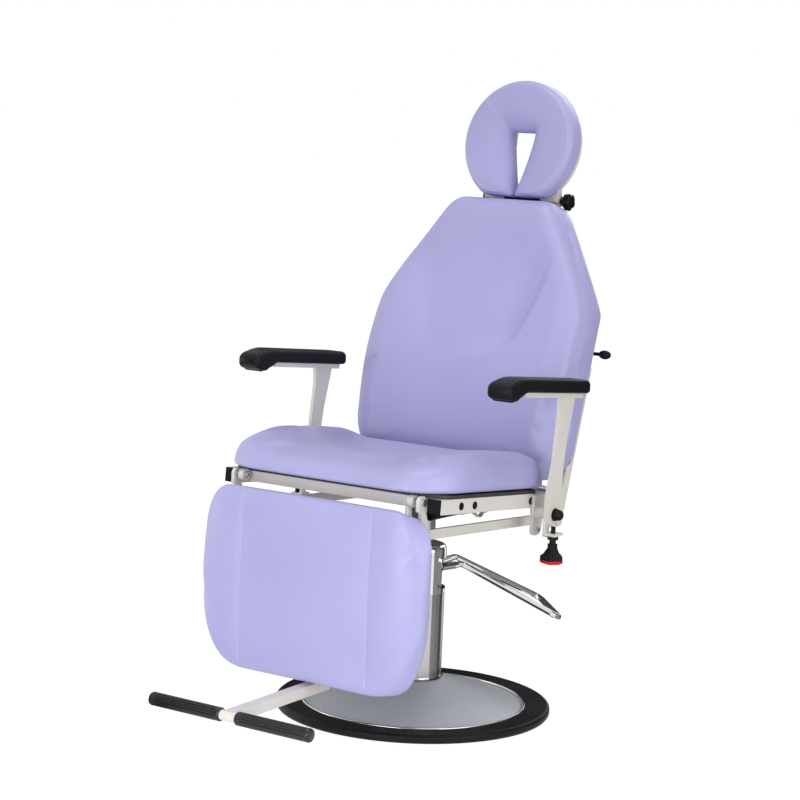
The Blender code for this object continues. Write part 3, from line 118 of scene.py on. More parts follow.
def vary_roughness(tree, bsdf, factor, low, high):
    span = node(tree, "ShaderNodeMapRange")
    span.inputs["To Min"].default_value = low
    span.inputs["To Max"].default_value = high
    tree.links.new(factor, span.inputs["Value"])
    tree.links.new(span.outputs["Result"], bsdf.inputs["Roughness"])


def add_bump(tree, bsdf, height, strength, distance):
    bump_node = node(tree, "ShaderNodeBump", Strength=strength, Distance=distance)
    tree.links.new(height, bump_node.inputs["Height"])
    tree.links.new(bump_node.outputs["Normal"], bsdf.inputs["Normal"])


def vinyl(name, colour):
    """Smooth upholstery vinyl with a fine embossed grain."""
    mat, tree, bsdf = shader(name, colour, 0.4, coat=0.05)
    where = place_coordinates(tree)
    drift = noise_at(tree, where, 6.0, 2.0)
    vary_colour(tree, bsdf, drift, colour, 0.965, 1.03)
    vary_roughness(tree, bsdf, noise_at(tree, where, 14.0, 3.0), 0.34, 0.46)
    cells = node(tree, "ShaderNodeTexVoronoi", Scale=850.0)
    cells.feature = "SMOOTH_F1"
    tree.links.new(where, cells.inputs["Vector"])
    pores = noise_at(tree, where, 420.0, 2.0)
    grain = node(tree, "ShaderNodeMath", operation="MULTIPLY")
    tree.links.new(cells.outputs["Distance"], grain.inputs[0])
    tree.links.new(pores, grain.inputs[1])
    add_bump(tree, bsdf, grain.outputs["Value"], 0.22, 0.0006)
    return mat


def enamel(name, colour, roughness=0.3, metallic=0.0):
    """Baked enamel with a faint orange peel."""
    mat, tree, bsdf = shader(name, colour, roughness, metallic, coat=0.25)
    where = place_coordinates(tree)
    vary_colour(tree, bsdf, noise_at(tree, where, 9.0, 3.0), colour, 0.96, 1.02)
    vary_roughness(tree, bsdf, noise_at(tree, where, 40.0, 2.0), roughness - 0.05, roughness + 0.07)
    add_bump(tree, bsdf, noise_at(tree, where, 260.0, 2.0), 0.08, 0.0004)
    return mat


def metal(name, colour, roughness, grain=(1, 1, 1), strength=0.03):
    """Metal whose grain is stretched along one axis."""
    mat, tree, bsdf = shader(name, colour, roughness, metallic=1.0)
    where = place_coordinates(tree, grain)
    streak = noise_at(tree, where, 220.0, 4.0, 0.65)
    vary_colour(tree, bsdf, noise_at(tree, where, 11.0, 3.0), colour, 0.94, 1.03)
    vary_roughness(tree, bsdf, streak, max(0.02, roughness - 0.04), roughness + 0.05)
    add_bump(tree, bsdf, streak, strength, 0.0002)
    return mat


def moulded(name, colour, roughness, scale, strength, specular=0.15):
    """Moulded plastic or rubber with a fine spark-eroded texture."""
    mat, tree, bsdf = shader(name, colour, roughness, specular=specular)
    where = place_coordinates(tree)
    vary_colour(tree, bsdf, noise_at(tree, where, 20.0, 4.0), colour, 0.85, 1.15)
    vary_roughness(tree, bsdf, noise_at(tree, where, 70.0, 3.0), roughness - 0.06, roughness + 0.08)
    add_bump(tree, bsdf, noise_at(tree, where, scale, 3.0, 0.6), strength, 0.0005)
    return mat


def veneer(name, colour):
    """Dark painted plywood with long grain."""
    mat, tree, bsdf = shader(name, colour, 0.6)
    where = place_coordinates(tree, (1, 14, 1))
    lines = noise_at(tree, where, 18.0, 6.0, 0.7)
    vary_colour(tree, bsdf, lines, colour, 0.7, 1.3)
    add_bump(tree, bsdf, lines, 0.15, 0.0006)
    return mat


VINYL = vinyl("lilac_vinyl_grain", (0.380, 0.371, 0.640))
# The seams' vinyl is lighter than the cover's: a painted highlight along the seam cords
SEAM_PAINTED_HIGHLIGHT = vinyl("lilac_seam_painted_highlight", (0.50, 0.49, 0.74))
CREAM = enamel("cream_enamel_peel", (0.68, 0.65, 0.595))
STEEL = metal("satin_steel_grain", (0.56, 0.57, 0.60), 0.34)
DISC = enamel("satin_disc", (0.45, 0.465, 0.515), 0.50, 0.25)
COLUMN = metal("column_steel", (0.50, 0.49, 0.48), 0.20, (1, 1, 0.05))
CHROME = metal("bright_chrome", (0.76, 0.75, 0.74), 0.07, strength=0.008)
BLACK = moulded("black_moulded", (0.006, 0.006, 0.007), 0.40, 900.0, 0.16)
RUBBER = moulded("black_rubber_fine", (0.006, 0.006, 0.007), 0.48, 600.0, 0.2)
GRIP = moulded("black_grip_rubber", (0.008, 0.008, 0.009), 0.30, 600.0, 0.1, 0.5)
RED = moulded("red_moulded", (0.58, 0.012, 0.008), 0.35, 700.0, 0.1)
BOARD = veneer("dark_board_grain", (0.035, 0.032, 0.034))

SLOT_FINISH = {
    "lilac_vinyl": VINYL, "cream_enamel": CREAM, "satin_steel": STEEL, "chrome": CHROME,
    "black_plastic": BLACK, "black_rubber": RUBBER, "dark_board": BOARD,
}
NODE_FINISH = {"base_cover": DISC, "column_tube": COLUMN}


def finish_nodes():
    """Give every carried-over CAD node its procedural material."""
    for part in frame["record"]["subparts"]:
        materials = NODES[part["node"]].data.materials
        materials.clear()
        materials.append(NODE_FINISH.get(part["node"], SLOT_FINISH[part["material_slot"]]))


# Mesh helpers

def piece(name, bm, mat, body, smooth=True, angle=40):
    """A new object of a mesh; with a body it rides on it and takes the given material slot."""
    mesh = bpy.data.meshes.new(name)
    bm.to_mesh(mesh)
    bm.free()
    made = bpy.data.objects.new(name, mesh)
    bpy.context.scene.collection.objects.link(made)
    mesh.materials.append(mat)
    if smooth:
        mesh.shade_smooth()
        mesh.set_sharp_from_angle(angle=math.radians(angle))
    if body:
        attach(made, body)
    return made


def skin(rings, closed_ends=True):
    """Quads over rings of equal count, with fans over the two ends."""
    bm = bmesh.new()
    rows = [[bm.verts.new(spot) for spot in ring] for ring in rings]
    count = len(rings[0])
    for row, after in zip(rows, rows[1:]):
        for index in range(count):
            ahead = (index + 1) % count
            bm.faces.new((row[index], row[ahead], after[ahead], after[index]))
    if closed_ends:
        for row in (rows[0], rows[-1]):
            middle = bm.verts.new(sum((vert.co for vert in row), Vector()) / count)
            for index in range(count):
                bm.faces.new((row[index], row[(index + 1) % count], middle))
    bmesh.ops.recalc_face_normals(bm, faces=bm.faces)
    return bm


def lathe(profile, matrix, steps=24, wave=None):
    """A closed (radius, height) profile that starts and ends on the axis, turned about Z."""
    rings = []
    for radius, height in profile[1:-1]:
        ring = []
        for step in range(steps):
            angle = math.tau * step / steps
            reach = radius * (wave(angle, height) if wave else 1.0)
            ring.append(matrix @ Vector((reach * math.cos(angle), reach * math.sin(angle), height)))
        rings.append(ring)
    return skin(rings)


def arc(centre, radius, start, end, steps):
    """Points of an arc between two angles in degrees, with both ends."""
    points = []
    for step in range(steps + 1):
        angle = math.radians(start + (end - start) * step / steps)
        points.append((centre[0] + radius * math.cos(angle), centre[1] + radius * math.sin(angle)))
    return points


def line(first, last, cuts):
    """Inner points of a straight run, without its ends."""
    return [(first[0] + (last[0] - first[0]) * cut / cuts, first[1] + (last[1] - first[1]) * cut / cuts)
            for cut in range(1, cuts)]


def bump(value, middle, width):
    """A smooth hump, one at the middle and nothing beyond the width."""
    share = min(1.0, abs(value - middle) / width)
    return (1 - share * share) ** 2


def ease(value, low, high):
    """Smooth step from nothing at low to one at high."""
    share = min(1.0, max(0.0, (value - low) / (high - low)))
    return share * share * (3 - 2 * share)


def rounding(share):
    """Depth of a round edge, from nothing at its inner end to one at the rim."""
    return 1 - math.sqrt(max(0.0, 1 - min(1.0, share) ** 2))


def smooth_path(points, cuts):
    """Points on a smooth curve through a few given ones."""
    path = []
    padded = [points[0] * 2 - points[1], *points, points[-1] * 2 - points[-2]]
    for index in range(1, len(padded) - 2):
        before, start, end, after = padded[index - 1:index + 3]
        for cut in range(cuts):
            t = cut / cuts
            bend = 2 * before - 5 * start + 4 * end - after
            twist = 3 * start - before - 3 * end + after
            path.append(0.5 * ((2 * start) + (end - before) * t + bend * t * t + twist * t * t * t))
    return path + [points[-1]]


def corner_drop(x, half, radius):
    """How far a rounded plan corner draws an edge in at x."""
    reach = max(0.0, abs(x) - (half - radius))
    return radius - math.sqrt(max(0.0, radius * radius - reach * reach))


def oval_drop(x, half, corner):
    """The same for an oval corner of the given width and height."""
    return corner[1] / corner[0] * corner_drop(x, half, corner[0])


def section(low, high, face, base, face_radii, base_radii, cuts=24, steps=5, sides=4):
    """Closed loop of (along, across) points; radii are for the low end and the high end."""
    start = arc((low + face_radii[0], face - face_radii[0]), face_radii[0], 180, 90, steps)
    end = arc((high - face_radii[1], face - face_radii[1]), face_radii[1], 90, 0, steps)
    heel = arc((high - base_radii[1], base + base_radii[1]), base_radii[1], 0, -90, steps)
    toe = arc((low + base_radii[0], base + base_radii[0]), base_radii[0], -90, -180, steps)
    loop = start + line(start[-1], end[0], cuts) + end + line(end[-1], heel[0], sides)
    return loop + heel + line(heel[-1], toe[0], cuts) + toe + line(toe[-1], start[0], sides)


def stations(half, edge, inner=36, steps=6):
    """Places across a pad as (x, inset); the inset rounds its two sides."""
    rounded_side = []
    for step in range(steps, 0, -1):
        angle = math.pi / 2 * step / steps
        rounded_side.append((-half + edge - edge * math.sin(angle), edge * (1 - math.cos(angle))))
    flat = half - edge
    middle = [(-flat + 2 * flat * index / inner, 0.0) for index in range(inner + 1)]
    return rounded_side + middle + [(-x, inset) for x, inset in reversed(rounded_side)]


# Upholstery

def baked(made):
    """Replace an object's mesh by what its modifiers make of it."""
    seen = made.evaluated_get(bpy.context.evaluated_depsgraph_get())
    mesh = bpy.data.meshes.new_from_object(seen)
    made.modifiers.clear()
    made.data = mesh


def stuffed(made, voxel, cap, hold):
    """Blow the pad up as a sewn cover on foam: remesh, cloth with pressure, capped travel.

    hold(point) tells which points are stapled to the board or sewn down.
    """
    if voxel:
        remesh = made.modifiers.new("even_mesh", "REMESH")
        remesh.mode = "VOXEL"
        remesh.voxel_size = voxel
        relax = made.modifiers.new("relax", "SMOOTH")
        relax.factor = 0.5
        relax.iterations = 4
    baked(made)
    start = [vert.co.copy() for vert in made.data.vertices]
    group = made.vertex_groups.new(name="held")
    group.add([index for index, spot in enumerate(start) if hold(spot)], 1.0, "REPLACE")
    cloth = made.modifiers.new("cover", "CLOTH")
    cloth.settings.quality = 4
    cloth.settings.tension_stiffness = 30
    cloth.settings.compression_stiffness = 30
    cloth.settings.bending_stiffness = 2.0
    cloth.settings.use_pressure = True
    cloth.settings.uniform_pressure_force = 4.0
    cloth.settings.effector_weights.gravity = 0.0
    cloth.settings.vertex_group_mass = "held"
    cloth.point_cache.frame_start = 1
    cloth.point_cache.frame_end = 20
    for step in range(1, cloth.point_cache.frame_end + 1):
        bpy.context.scene.frame_set(step)
    baked(made)
    for vert, origin in zip(made.data.vertices, start):
        travel = vert.co - origin
        if travel.length > cap:
            vert.co = origin + travel * (cap / travel.length)
    bpy.context.scene.frame_set(1)
    made.vertex_groups.clear()


def upholster(name, rings, body, replaced, hold, voxel=0.006, cap=0.004):
    """A padded piece in place of a CAD cushion; rings are in the CAD frame."""
    made = piece(name, skin(rings), VINYL, None)
    stuffed(made, voxel, cap, hold)
    relax = made.modifiers.new("relax", "SMOOTH")
    relax.factor = 0.5
    relax.iterations = 3
    baked(made)
    made.data.materials.clear()
    made.data.materials.append(VINYL)
    made.data.shade_smooth()
    made.modifiers.new("fine", "SUBSURF")
    made.modifiers["fine"].levels = 1
    made.modifiers["fine"].render_levels = 1
    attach(made, body)
    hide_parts(replaced)
    return made


def press_seam(made, distance, width, depth, direction):
    """Draw the cover in along a seam; distance(point) is how far a point is from it."""
    for vert in made.data.vertices:
        share = max(0.0, 1 - distance(vert.co) / width)
        vert.co += direction * depth * share * share


def seam_cord(name, made, path, direction, body, radius=0.0008):
    """A thin sewn seam laid on a pad's surface: points of path are dropped along direction. Its lighter
    vinyl is a painted highlight along the seam.
    """
    bpy.context.view_layer.update()
    depsgraph = bpy.context.evaluated_depsgraph_get()
    tree = BVHTree.FromObject(made, depsgraph)
    turn = made.evaluated_get(depsgraph).matrix_world
    stand_off = direction * 0.2
    points = []
    for spot in path:
        hit = tree.ray_cast(turn.inverted() @ (spot - stand_off), direction)[0]
        if hit is not None:
            points.append(turn @ hit)
    curve = bpy.data.curves.new(name, "CURVE")
    curve.dimensions = "3D"
    curve.bevel_depth = radius
    curve.bevel_resolution = 2
    curve.use_fill_caps = True
    spline = curve.splines.new("POLY")
    spline.points.add(len(points) - 1)
    for point, spot in zip(spline.points, points):
        point.co = (*spot, 1)
    cord = bpy.data.objects.new(name, curve)
    bpy.context.scene.collection.objects.link(cord)
    curve.materials.append(SEAM_PAINTED_HIGHLIGHT)
    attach(cord, body)
    return cord


def seat_pad():
    """Dished seat: side bolsters, rolled front and a flat underside on its board."""
    half, edge, corner, rear_corner = 0.2815, 0.050, 0.115, 0.024
    front_line, back_line, bottom, thick = -0.0445, 0.3935, 0.0080, 0.0685
    side_depth, nose_depth, tail_depth = 0.030, 0.052, 0.050
    nose_reach, tail_reach = 0.210, 0.040
    bolster_height, bolster_place, bolster_width = 0.013, half * 0.90, 0.12
    sink_depth, sink_start, sink_run = 0.012, 0.2, 0.8
    front_draw, back_draw, base_draw = 0.010, 0.008, 0.008
    top_radii, base_radii = (0.016, 0.026), (0.010, 0.010)
    stapled = bottom + 0.010

    def fall(x, ahead, behind):
        side = side_depth * rounding(max(0.0, 1 - (half - abs(x)) / edge))
        nose = nose_depth * rounding(max(0.0, 1 - ahead / nose_reach))
        tail = tail_depth * rounding(max(0.0, 1 - behind / tail_reach))
        return math.hypot(side, nose, tail)

    rings = []
    for x, inset in stations(half, edge, 34, 14):
        drawn = inset / edge
        front = front_line + corner_drop(x, half, corner) + drawn * front_draw
        back = back_line - corner_drop(x, half, rear_corner) - drawn * back_draw
        top = bottom + thick + bolster_height * bump(abs(x), bolster_place, bolster_width)
        base = bottom + drawn * base_draw
        ring = []
        for along, height in section(front, back, top, base, top_radii, base_radii, 48, 6):
            lean = (height - base) / (top - base)
            sink = sink_depth * min(1.0, max(0.0, along / back_line - sink_start) / sink_run) ** 2
            lowered = height - lean * (sink + fall(x, along - front, back - along))
            ring.append(SEAT @ Vector((x, along, lowered)))
        rings.append(ring)
    level = SEAT.inverted()
    return upholster("seat_upholstery", rings, "seat", "seat_cushion",
                     lambda spot: (level @ spot).z < stapled)


def back_outline(x, half, low, high, top_half, bulge):
    """Lower and upper end of the backrest at x, along the back."""
    blend, corner = 0.030, 0.070
    slope = (high - bulge) / (half - top_half)
    gap = slope * (abs(x) - top_half)
    if abs(gap) < blend:
        top = high - (gap + blend) ** 2 / (4 * blend)
    else:
        top = min(high, high - gap)
    return low + corner_drop(x, half, corner), top


# The fold round the backrest's middle panel: (x, height) points of its right half
BACK_FOLD = (
    (0.0, 0.300), (0.045, 0.301), (0.073, 0.306), (0.098, 0.322), (0.116, 0.351),
    (0.127, 0.392), (0.137, 0.434), (0.147, 0.480), (0.158, 0.520),
)
# Its depth and its reach, and what changes on the sitter's left half, where it is deeper and sharper
FOLD_DEPTH, FOLD_DEPTH_LEFT = 0.0070, 0.0125
FOLD_INNER, FOLD_OUTER, FOLD_OUTER_LEFT = 0.090, 0.048, 0.020
FOLD_MIDDLE, FOLD_SIDE = 0.45, 0.55
FOLD_FADE = (0.42, 0.56)


def fold_depth(x, up):
    """Depth of the soft fold: it falls gently from the panel and rises fast to the bolster."""
    spot = Vector((abs(x), up))
    best, inside = 1.0, False
    for first, last in zip(BACK_FOLD, BACK_FOLD[1:]):
        start, run = Vector(first), Vector(last) - Vector(first)
        share = min(1.0, max(0.0, (spot - start).dot(run) / run.length_squared))
        best = min(best, (spot - start - run * share).length)
        if start.x <= spot.x <= last[0]:
            inside = up > start.y + run.y * (spot.x - start.x) / run.x
    left = ease(x, -0.02, 0.05)
    reach = FOLD_INNER if inside else FOLD_OUTER - FOLD_OUTER_LEFT * left
    aside = FOLD_MIDDLE + FOLD_SIDE * ease(abs(x), 0.05, 0.12)
    deepest = (FOLD_DEPTH + FOLD_DEPTH_LEFT * left) * aside
    return deepest * bump(best, 0, reach) * (1 - ease(up, *FOLD_FADE))


def back_relief(x, up):
    """Swelling of the backrest's face: lumbar roll and side bolsters round the middle panel."""
    foot, tall = 0.026, 0.612
    roll_depth, roll_place, roll_width = 0.018, 0.36, 0.34
    bolster_depth, bolster_x, bolster_wide, bolster_up, bolster_tall = 0.012, 0.236, 0.13, 0.283, 0.26
    roll = roll_depth * bump((up - foot) / tall, roll_place, roll_width)
    bolster = bolster_depth * bump(abs(x), bolster_x, bolster_wide) * bump(up, bolster_up, bolster_tall)
    return roll + bolster - fold_depth(x, up)


def back_pad():
    """Backrest: a tapered top, round edges and a folded middle panel on a flat board."""
    half, edge, depth, taper = 0.2695, 0.055, 0.030, 0.03
    face, back, low_end, high_end = 0.0125, 0.0945, 0.0275, 0.6425
    top_half, bulge = 0.1275, 0.4135
    end_draw, back_draw = 0.30, 0.10
    brow_depth, brow_reach = 0.008, 0.075
    face_radii, back_radii = (0.032, 0.034), (0.016, 0.010)
    swell_start, swell_full = 0.012, 0.002
    stapled = back - 0.010
    rings = []
    for x, inset in stations(half, edge, 46, 16):
        inset *= depth / edge
        low, high = back_outline(x, half, low_end, high_end, top_half, bulge)
        low += inset * end_draw
        high -= inset * end_draw
        front = face - inset
        rear = -back + inset * back_draw
        ring = []
        for along, across in section(low, high, front, rear, face_radii, back_radii, 64):
            deep = (front - across) / (front + back)
            brow = brow_depth * rounding(max(0.0, 1 - (high - along) / brow_reach)) * (1 - deep)
            swell = back_relief(x, along) * ease(across, front - swell_start, front - swell_full)
            ring.append(BACK @ Vector((x * (1 - taper * deep), brow - across - swell, along)))
        rings.append(ring)
    level = BACK.inverted()
    return upholster("back_upholstery", rings, "backrest", "back_cushion",
                     lambda spot: (level @ spot).y > stapled)


def leg_pad():
    """Leg rest in three sewn panels; its face is rounder at the corners than its back."""
    half, edge, depth, seam = 0.2815, 0.062, 0.030, 0.162
    face, back, top, bottom = -0.0675, -0.0125, -0.0045, -0.3975
    top_corner, bottom_corner = (0.076, 0.190), (0.120, 0.185)
    rear_top_corner, rear_bottom_corner = (0.045, 0.045), (0.080, 0.185)
    rear_fall, base_draw = 0.024, 0.3
    crown_height, crown_skin = 0.004, 0.005
    face_radii, base_radii, widest_radius = (0.024, 0.022), (0.010, 0.008), 0.4
    rings = []
    for x, inset in stations(half, edge, 48, 10):
        inset *= depth / edge
        high = top - oval_drop(x, half, top_corner)
        low = bottom + oval_drop(x, half, bottom_corner)
        rear_high = top - rear_fall - oval_drop(x, half, rear_top_corner)
        rear_low = bottom + oval_drop(x, half, rear_bottom_corner)
        front = -face - inset
        base = -back + inset * base_draw
        room = widest_radius * min(high - low, front - base)
        face_round = [min(radius, room) for radius in face_radii]
        base_round = [min(radius, room) for radius in base_radii]
        ring = []
        for along, across in section(low, high, front, base, face_round, base_round, 36):
            deep = (front - across) / (front - base)
            share = (along - low) / (high - low)
            flare = deep * ((1 - share) * (rear_low - low) + share * (rear_high - high))
            crown = 0.0
            if across > front - crown_skin:
                crown = crown_height * bump(along, (low + high) / 2, (high - low) / 2)
            ring.append(LEG @ Vector((x, -across - crown, along + flare)))
        rings.append(ring)
    held = LEG.translation.y + back
    stapled, sewn_face, pressed_face = held - 0.008, held - 0.020, held - 0.030
    sewn_width, press_width, press_depth = 0.004, 0.008, 0.0018

    def hold(spot):
        sewn = abs(abs(spot.x) - seam) < sewn_width and spot.y < sewn_face
        return sewn or spot.y > stapled

    def from_seam(spot):
        return abs(abs(spot.x) - seam) + (0 if spot.y < pressed_face else 1)

    made = upholster("leg_upholstery", rings, "legrest", "leg_cushion", hold, 0.005)
    inward = Vector((0, 1, 0))
    press_seam(made, from_seam, press_width, press_depth, inward)
    seam_y, seam_foot, seam_long, seam_cuts = -0.40, 0.144, 0.360, 60
    for name, side in SIDES:
        heights = [seam_foot + seam_long * step / seam_cuts for step in range(seam_cuts + 1)]
        path = [Vector((side * seam, seam_y, height)) for height in heights]
        seam_cord("leg_seam_" + name, made, path, inward, "legrest")
    return made


# The headrest's face slot: half width, top above the pad's centre, height and half width at its tip
SLOT_HALF, SLOT_TOP, SLOT_TALL, SLOT_TIP = 0.0325, 0.0265, 0.1385, 0.0012


def slot_edge(share):
    """Point on the right half of the face slot's edge, from its top middle to its tip."""
    turn = 0.22
    if share < turn:
        return Vector((SLOT_HALF * share / turn, SLOT_TOP))
    down = (share - turn) / (1 - turn)
    return Vector((SLOT_HALF + (SLOT_TIP - SLOT_HALF) * down, SLOT_TOP - SLOT_TALL * down))


def head_section(span, thick, cuts=14):
    """Section of the headrest pad from the slot outwards: a roll with an upright outer side."""
    lip, crest, round_off = 0.0145, span * 0.60, min(0.018, span * 0.3)
    loop = [(0, 0), (0, lip * 0.5)]
    for cut in range(cuts):
        along = crest * (1 - math.cos(math.pi / 2 * cut / cuts))
        loop.append((along, lip + (thick - lip) * math.sqrt(1 - (1 - along / crest) ** 2)))
    loop += [(crest + (span - round_off - crest) * cut / 6, thick) for cut in range(6)]
    loop += arc((span - round_off, thick - round_off), round_off, 90, 0, 6)
    heel = min(0.008, span * 0.3)
    side = arc((span - heel, heel), heel, 0, -90, 4)
    loop += line(loop[-1], side[0], 6) + side
    return loop + line(side[-1], (0, 0), 12)


def head_pad():
    """Round headrest, a roll round a wedge slot for the face, split below the slot."""
    radius, deep, flat, centre, back = 0.1415, 0.060, 0.1205, 0.119, -0.0168
    thinner, thin_start, thin_run = 0.30, 0.8, 0.2
    wedge_depth, wedge_top = 0.014, 0.262
    stapled, split = back - 0.022, 0.003
    rings = []
    count = 44
    for step in range(-count, count + 1):
        share = abs(step) / count
        inner = slot_edge(share)
        angle = math.pi * share
        outer = Vector((max(SLOT_TIP, radius * math.sin(angle)), max(-flat, radius * math.cos(angle))))
        span = (outer - inner).length
        thick = deep * (1 - thinner * max(0.0, (share - thin_start) / thin_run) ** 2)
        ring = []
        for along, across in head_section(span, thick):
            spot = inner.lerp(outer, along / span)
            up = centre + spot.y
            wedge = wedge_depth * (wedge_top - up) / wedge_top * (1 - across / thick)
            ring.append(HEAD @ Vector((math.copysign(spot.x, step), back - across - wedge, up)))
        rings.append(ring)
    level = HEAD.inverted()
    made = upholster("headrest_upholstery", rings, "headrest", "headrest_pad",
                     lambda spot: (level @ spot).y > stapled or abs(spot.x) < split, None, 0.003)
    head_seams(made, centre)
    return made


# The headrest's sewn seams: (x, height) points from the slot to the rim on each side
HEAD_SEAMS = {
    "left": ((0.033, 0.147), (0.048, 0.165), (0.060, 0.190), (0.080, 0.210), (0.098, 0.214)),
    "right": ((0.033, 0.147), (0.048, 0.172), (0.066, 0.187), (0.098, 0.211)),
}


def head_seams(made, centre):
    """Two seams across the headrest and one along each half of its rim."""
    inward = (HEAD.to_3x3() @ Vector((0, 1, 0))).normalized()
    thread, ahead = 0.0009, -0.04
    for name, side in SIDES:
        ends = [Vector(spot) for spot in HEAD_SEAMS[name]]
        path = [HEAD @ Vector((side * spot.x, ahead, spot.y)) for spot in smooth_path(ends, 24)]
        seam_cord("headrest_seam_" + name, made, path, inward, "headrest", thread)
    rim_radius, rim_draw, rim_flat, rim_turn, cuts = 0.1325, 0.010, 0.1125, 165, 72
    for name, side in SIDES:
        rim = []
        for step in range(cuts + 1):
            angle = math.radians(rim_turn * step / cuts)
            reach = rim_radius - rim_draw * ease(angle, 2.2, 2.9)
            up = centre + max(-rim_flat, reach * math.cos(angle))
            rim.append(HEAD @ Vector((side * reach * math.sin(angle), ahead, up)))
        seam_cord("headrest_edge_seam_" + name, made, rim, inward, "headrest", thread)


# Arm pads, rim and grips

# Arm pads: tip, rear end and nose along Y, top at the tip and its fall, thickness, half width, place
ARM_TIP, ARM_REAR, ARM_NOSE = -0.2195, 0.1105, 0.064
ARM_TOP, ARM_FALL, ARM_THICK, ARM_HALF, ARM_X = 0.776, 0.028, 0.029, 0.029, 0.319


def arm_pad_ring(y):
    """Section of a moulded arm pad: its nose turns down to finger grips."""
    nose_drop, nose_round, tip_round, rear_round = 0.020, 0.017, 0.016, 0.014
    grip_depth, grip_pitch = 0.0022, 0.016
    ahead = y - ARM_TIP
    top = ARM_TOP - ARM_FALL * ahead / (ARM_REAR - ARM_TIP)
    bottom = top - ARM_THICK - nose_drop * bump(ahead, ARM_NOSE * 0.42, ARM_NOSE * 0.86)
    grips = bump(ahead, ARM_NOSE * 0.45, ARM_NOSE * 0.45)
    bottom += grip_depth * math.cos(math.tau * ahead / grip_pitch) * grips
    top -= nose_round * max(0.0, 1 - ahead / ARM_NOSE) ** 2
    near = min(ahead / tip_round, (ARM_REAR - y) / rear_round)
    pinch = math.sqrt(max(0.0, 1 - (1 - min(1.0, near)) ** 2))
    half = ARM_HALF * (0.62 + 0.38 * pinch)
    middle = (top + bottom) / 2
    tall = (top - bottom) / 2 * (0.40 + 0.60 * pinch)
    face, heel = min(half, tall) * 0.75, min(half, tall) * 0.5
    loop = section(-half, half, middle + tall, middle - tall, (face, face), (heel, heel), 8, 6, 3)
    return [(across, y, height) for across, height in loop]


def arm_pads():
    """Both arm pads, with closer rings towards their ends."""
    steps, end_gap = 84, 0.0006
    spots = []
    for index in range(steps + 1):
        share = 0.5 - 0.5 * math.cos(math.pi * index / steps)
        y = ARM_TIP + (ARM_REAR - ARM_TIP) * (0.4 * index / steps + 0.6 * share)
        spots.append(min(max(y, ARM_TIP + end_gap), ARM_REAR - end_gap))
    for name, side in SIDES:
        rings = [[Vector((side * ARM_X + x, y, z)) for x, y, z in arm_pad_ring(y)] for y in spots]
        body = "armrest_" + name
        made = piece("arm_pad_moulded_" + name, skin(rings), BLACK, body, angle=60)
        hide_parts("arm_pad_" + name)


def hoop(profile, steps=144):
    """A closed (radius, height) loop turned about the chair's upright axis."""
    bm = bmesh.new()
    rows = []
    for step in range(steps):
        angle = math.tau * step / steps
        rows.append([bm.verts.new((r * math.cos(angle), r * math.sin(angle), z)) for r, z in profile])
    count = len(profile)
    for row, after in zip(rows, rows[1:] + rows[:1]):
        for index in range(count):
            ahead = (index + 1) % count
            bm.faces.new((row[index], after[index], after[ahead], row[ahead]))
    bmesh.ops.recalc_face_normals(bm, faces=bm.faces)
    return bm


def floor_rim():
    """Rubber floor rim with fine concentric ribs on its top."""
    inner, outer, height = 0.2466, 0.300, 0.018
    bevel, rounded, foot = 0.003, 0.007, 0.004
    ribs, first, last, groove = 9, inner + 0.005, outer - rounded, height - 0.0012
    profile = [(inner, 0.0), (inner, height - bevel), (inner + bevel, height)]
    for rib in range(ribs):
        start = first + (last - first) * rib / ribs
        pitch = (last - first) / ribs
        profile += [(start, height), (start + pitch * 0.12, groove)]
        profile += [(start + pitch * 0.38, groove), (start + pitch * 0.5, height)]
    profile += arc((outer - rounded, height - rounded), rounded, 90, 0, 5)
    profile += [(outer, foot), (outer - bevel, 0.0)]
    made = piece("ribbed_floor_rim", hoop(profile), RUBBER, "base", angle=25)
    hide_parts("base_rim")
    bead = arc((0.2438, 0.0166), 0.0024, 0, 330, 11)
    piece("cover_bead", hoop(bead), CHROME, "base")


# Foot grips: radius, length, count of flutes, their depth as a share of the radius and where they run
GRIP_RADIUS, GRIP_LONG, GRIP_FLUTES, GRIP_DEPTH = 0.0140, 0.18, 16, 0.11
GRIP_FLUTED = (0.006, 0.172)


def flute(angle, height):
    """Radius factor that cuts flutes along a grip, but not into its plain ends."""
    depth = GRIP_DEPTH if GRIP_FLUTED[0] < height < GRIP_FLUTED[1] else 0.0
    return 1.0 - depth * (0.5 + 0.5 * math.cos(GRIP_FLUTES * angle)) ** 2


def foot_grips():
    """Fluted rubber grips on the footrest's bar."""
    bar_y, bar_z, gap = -0.638, 0.1045, 0.020
    start, run, cuts = 0.0075, 0.163, 12
    profile = [(0, 0), (0.0112, 0), (0.0130, 0.0005), (GRIP_RADIUS, 0.0025), (GRIP_RADIUS, 0.0058)]
    profile += [(GRIP_RADIUS, start + run * step / cuts) for step in range(cuts + 1)]
    profile += [(GRIP_RADIUS, 0.1722), (GRIP_RADIUS, 0.1765)]
    profile += [(0.0130, 0.1788), (0.0105, 0.1798), (0, GRIP_LONG)]
    for name, side in SIDES:
        turn = Matrix.Translation((side * gap, bar_y, bar_z)) @ Matrix.Rotation(side * math.pi / 2, 4, "Y")
        grip = lathe(profile, turn, 128, flute)
        made = piece("fluted_grip_" + name, grip, GRIP, "footrest", angle=50)
        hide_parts("footrest_grip_" + name)


# Small hardware

def button(name, place, direction, profile, mat, body, steps=20, wave=None):
    """A small turned piece standing on a face, its axis along direction."""
    turn = Vector(direction).to_track_quat("Z", "Y").to_matrix().to_4x4()
    return piece(name, lathe(profile, Matrix.Translation(place) @ turn, steps, wave), mat, body)


def hexagon(angle, height):
    """Radius factor that turns a circle into a hexagon."""
    return math.cos(math.pi / 6) / math.cos((angle % (math.pi / 3)) - math.pi / 6)


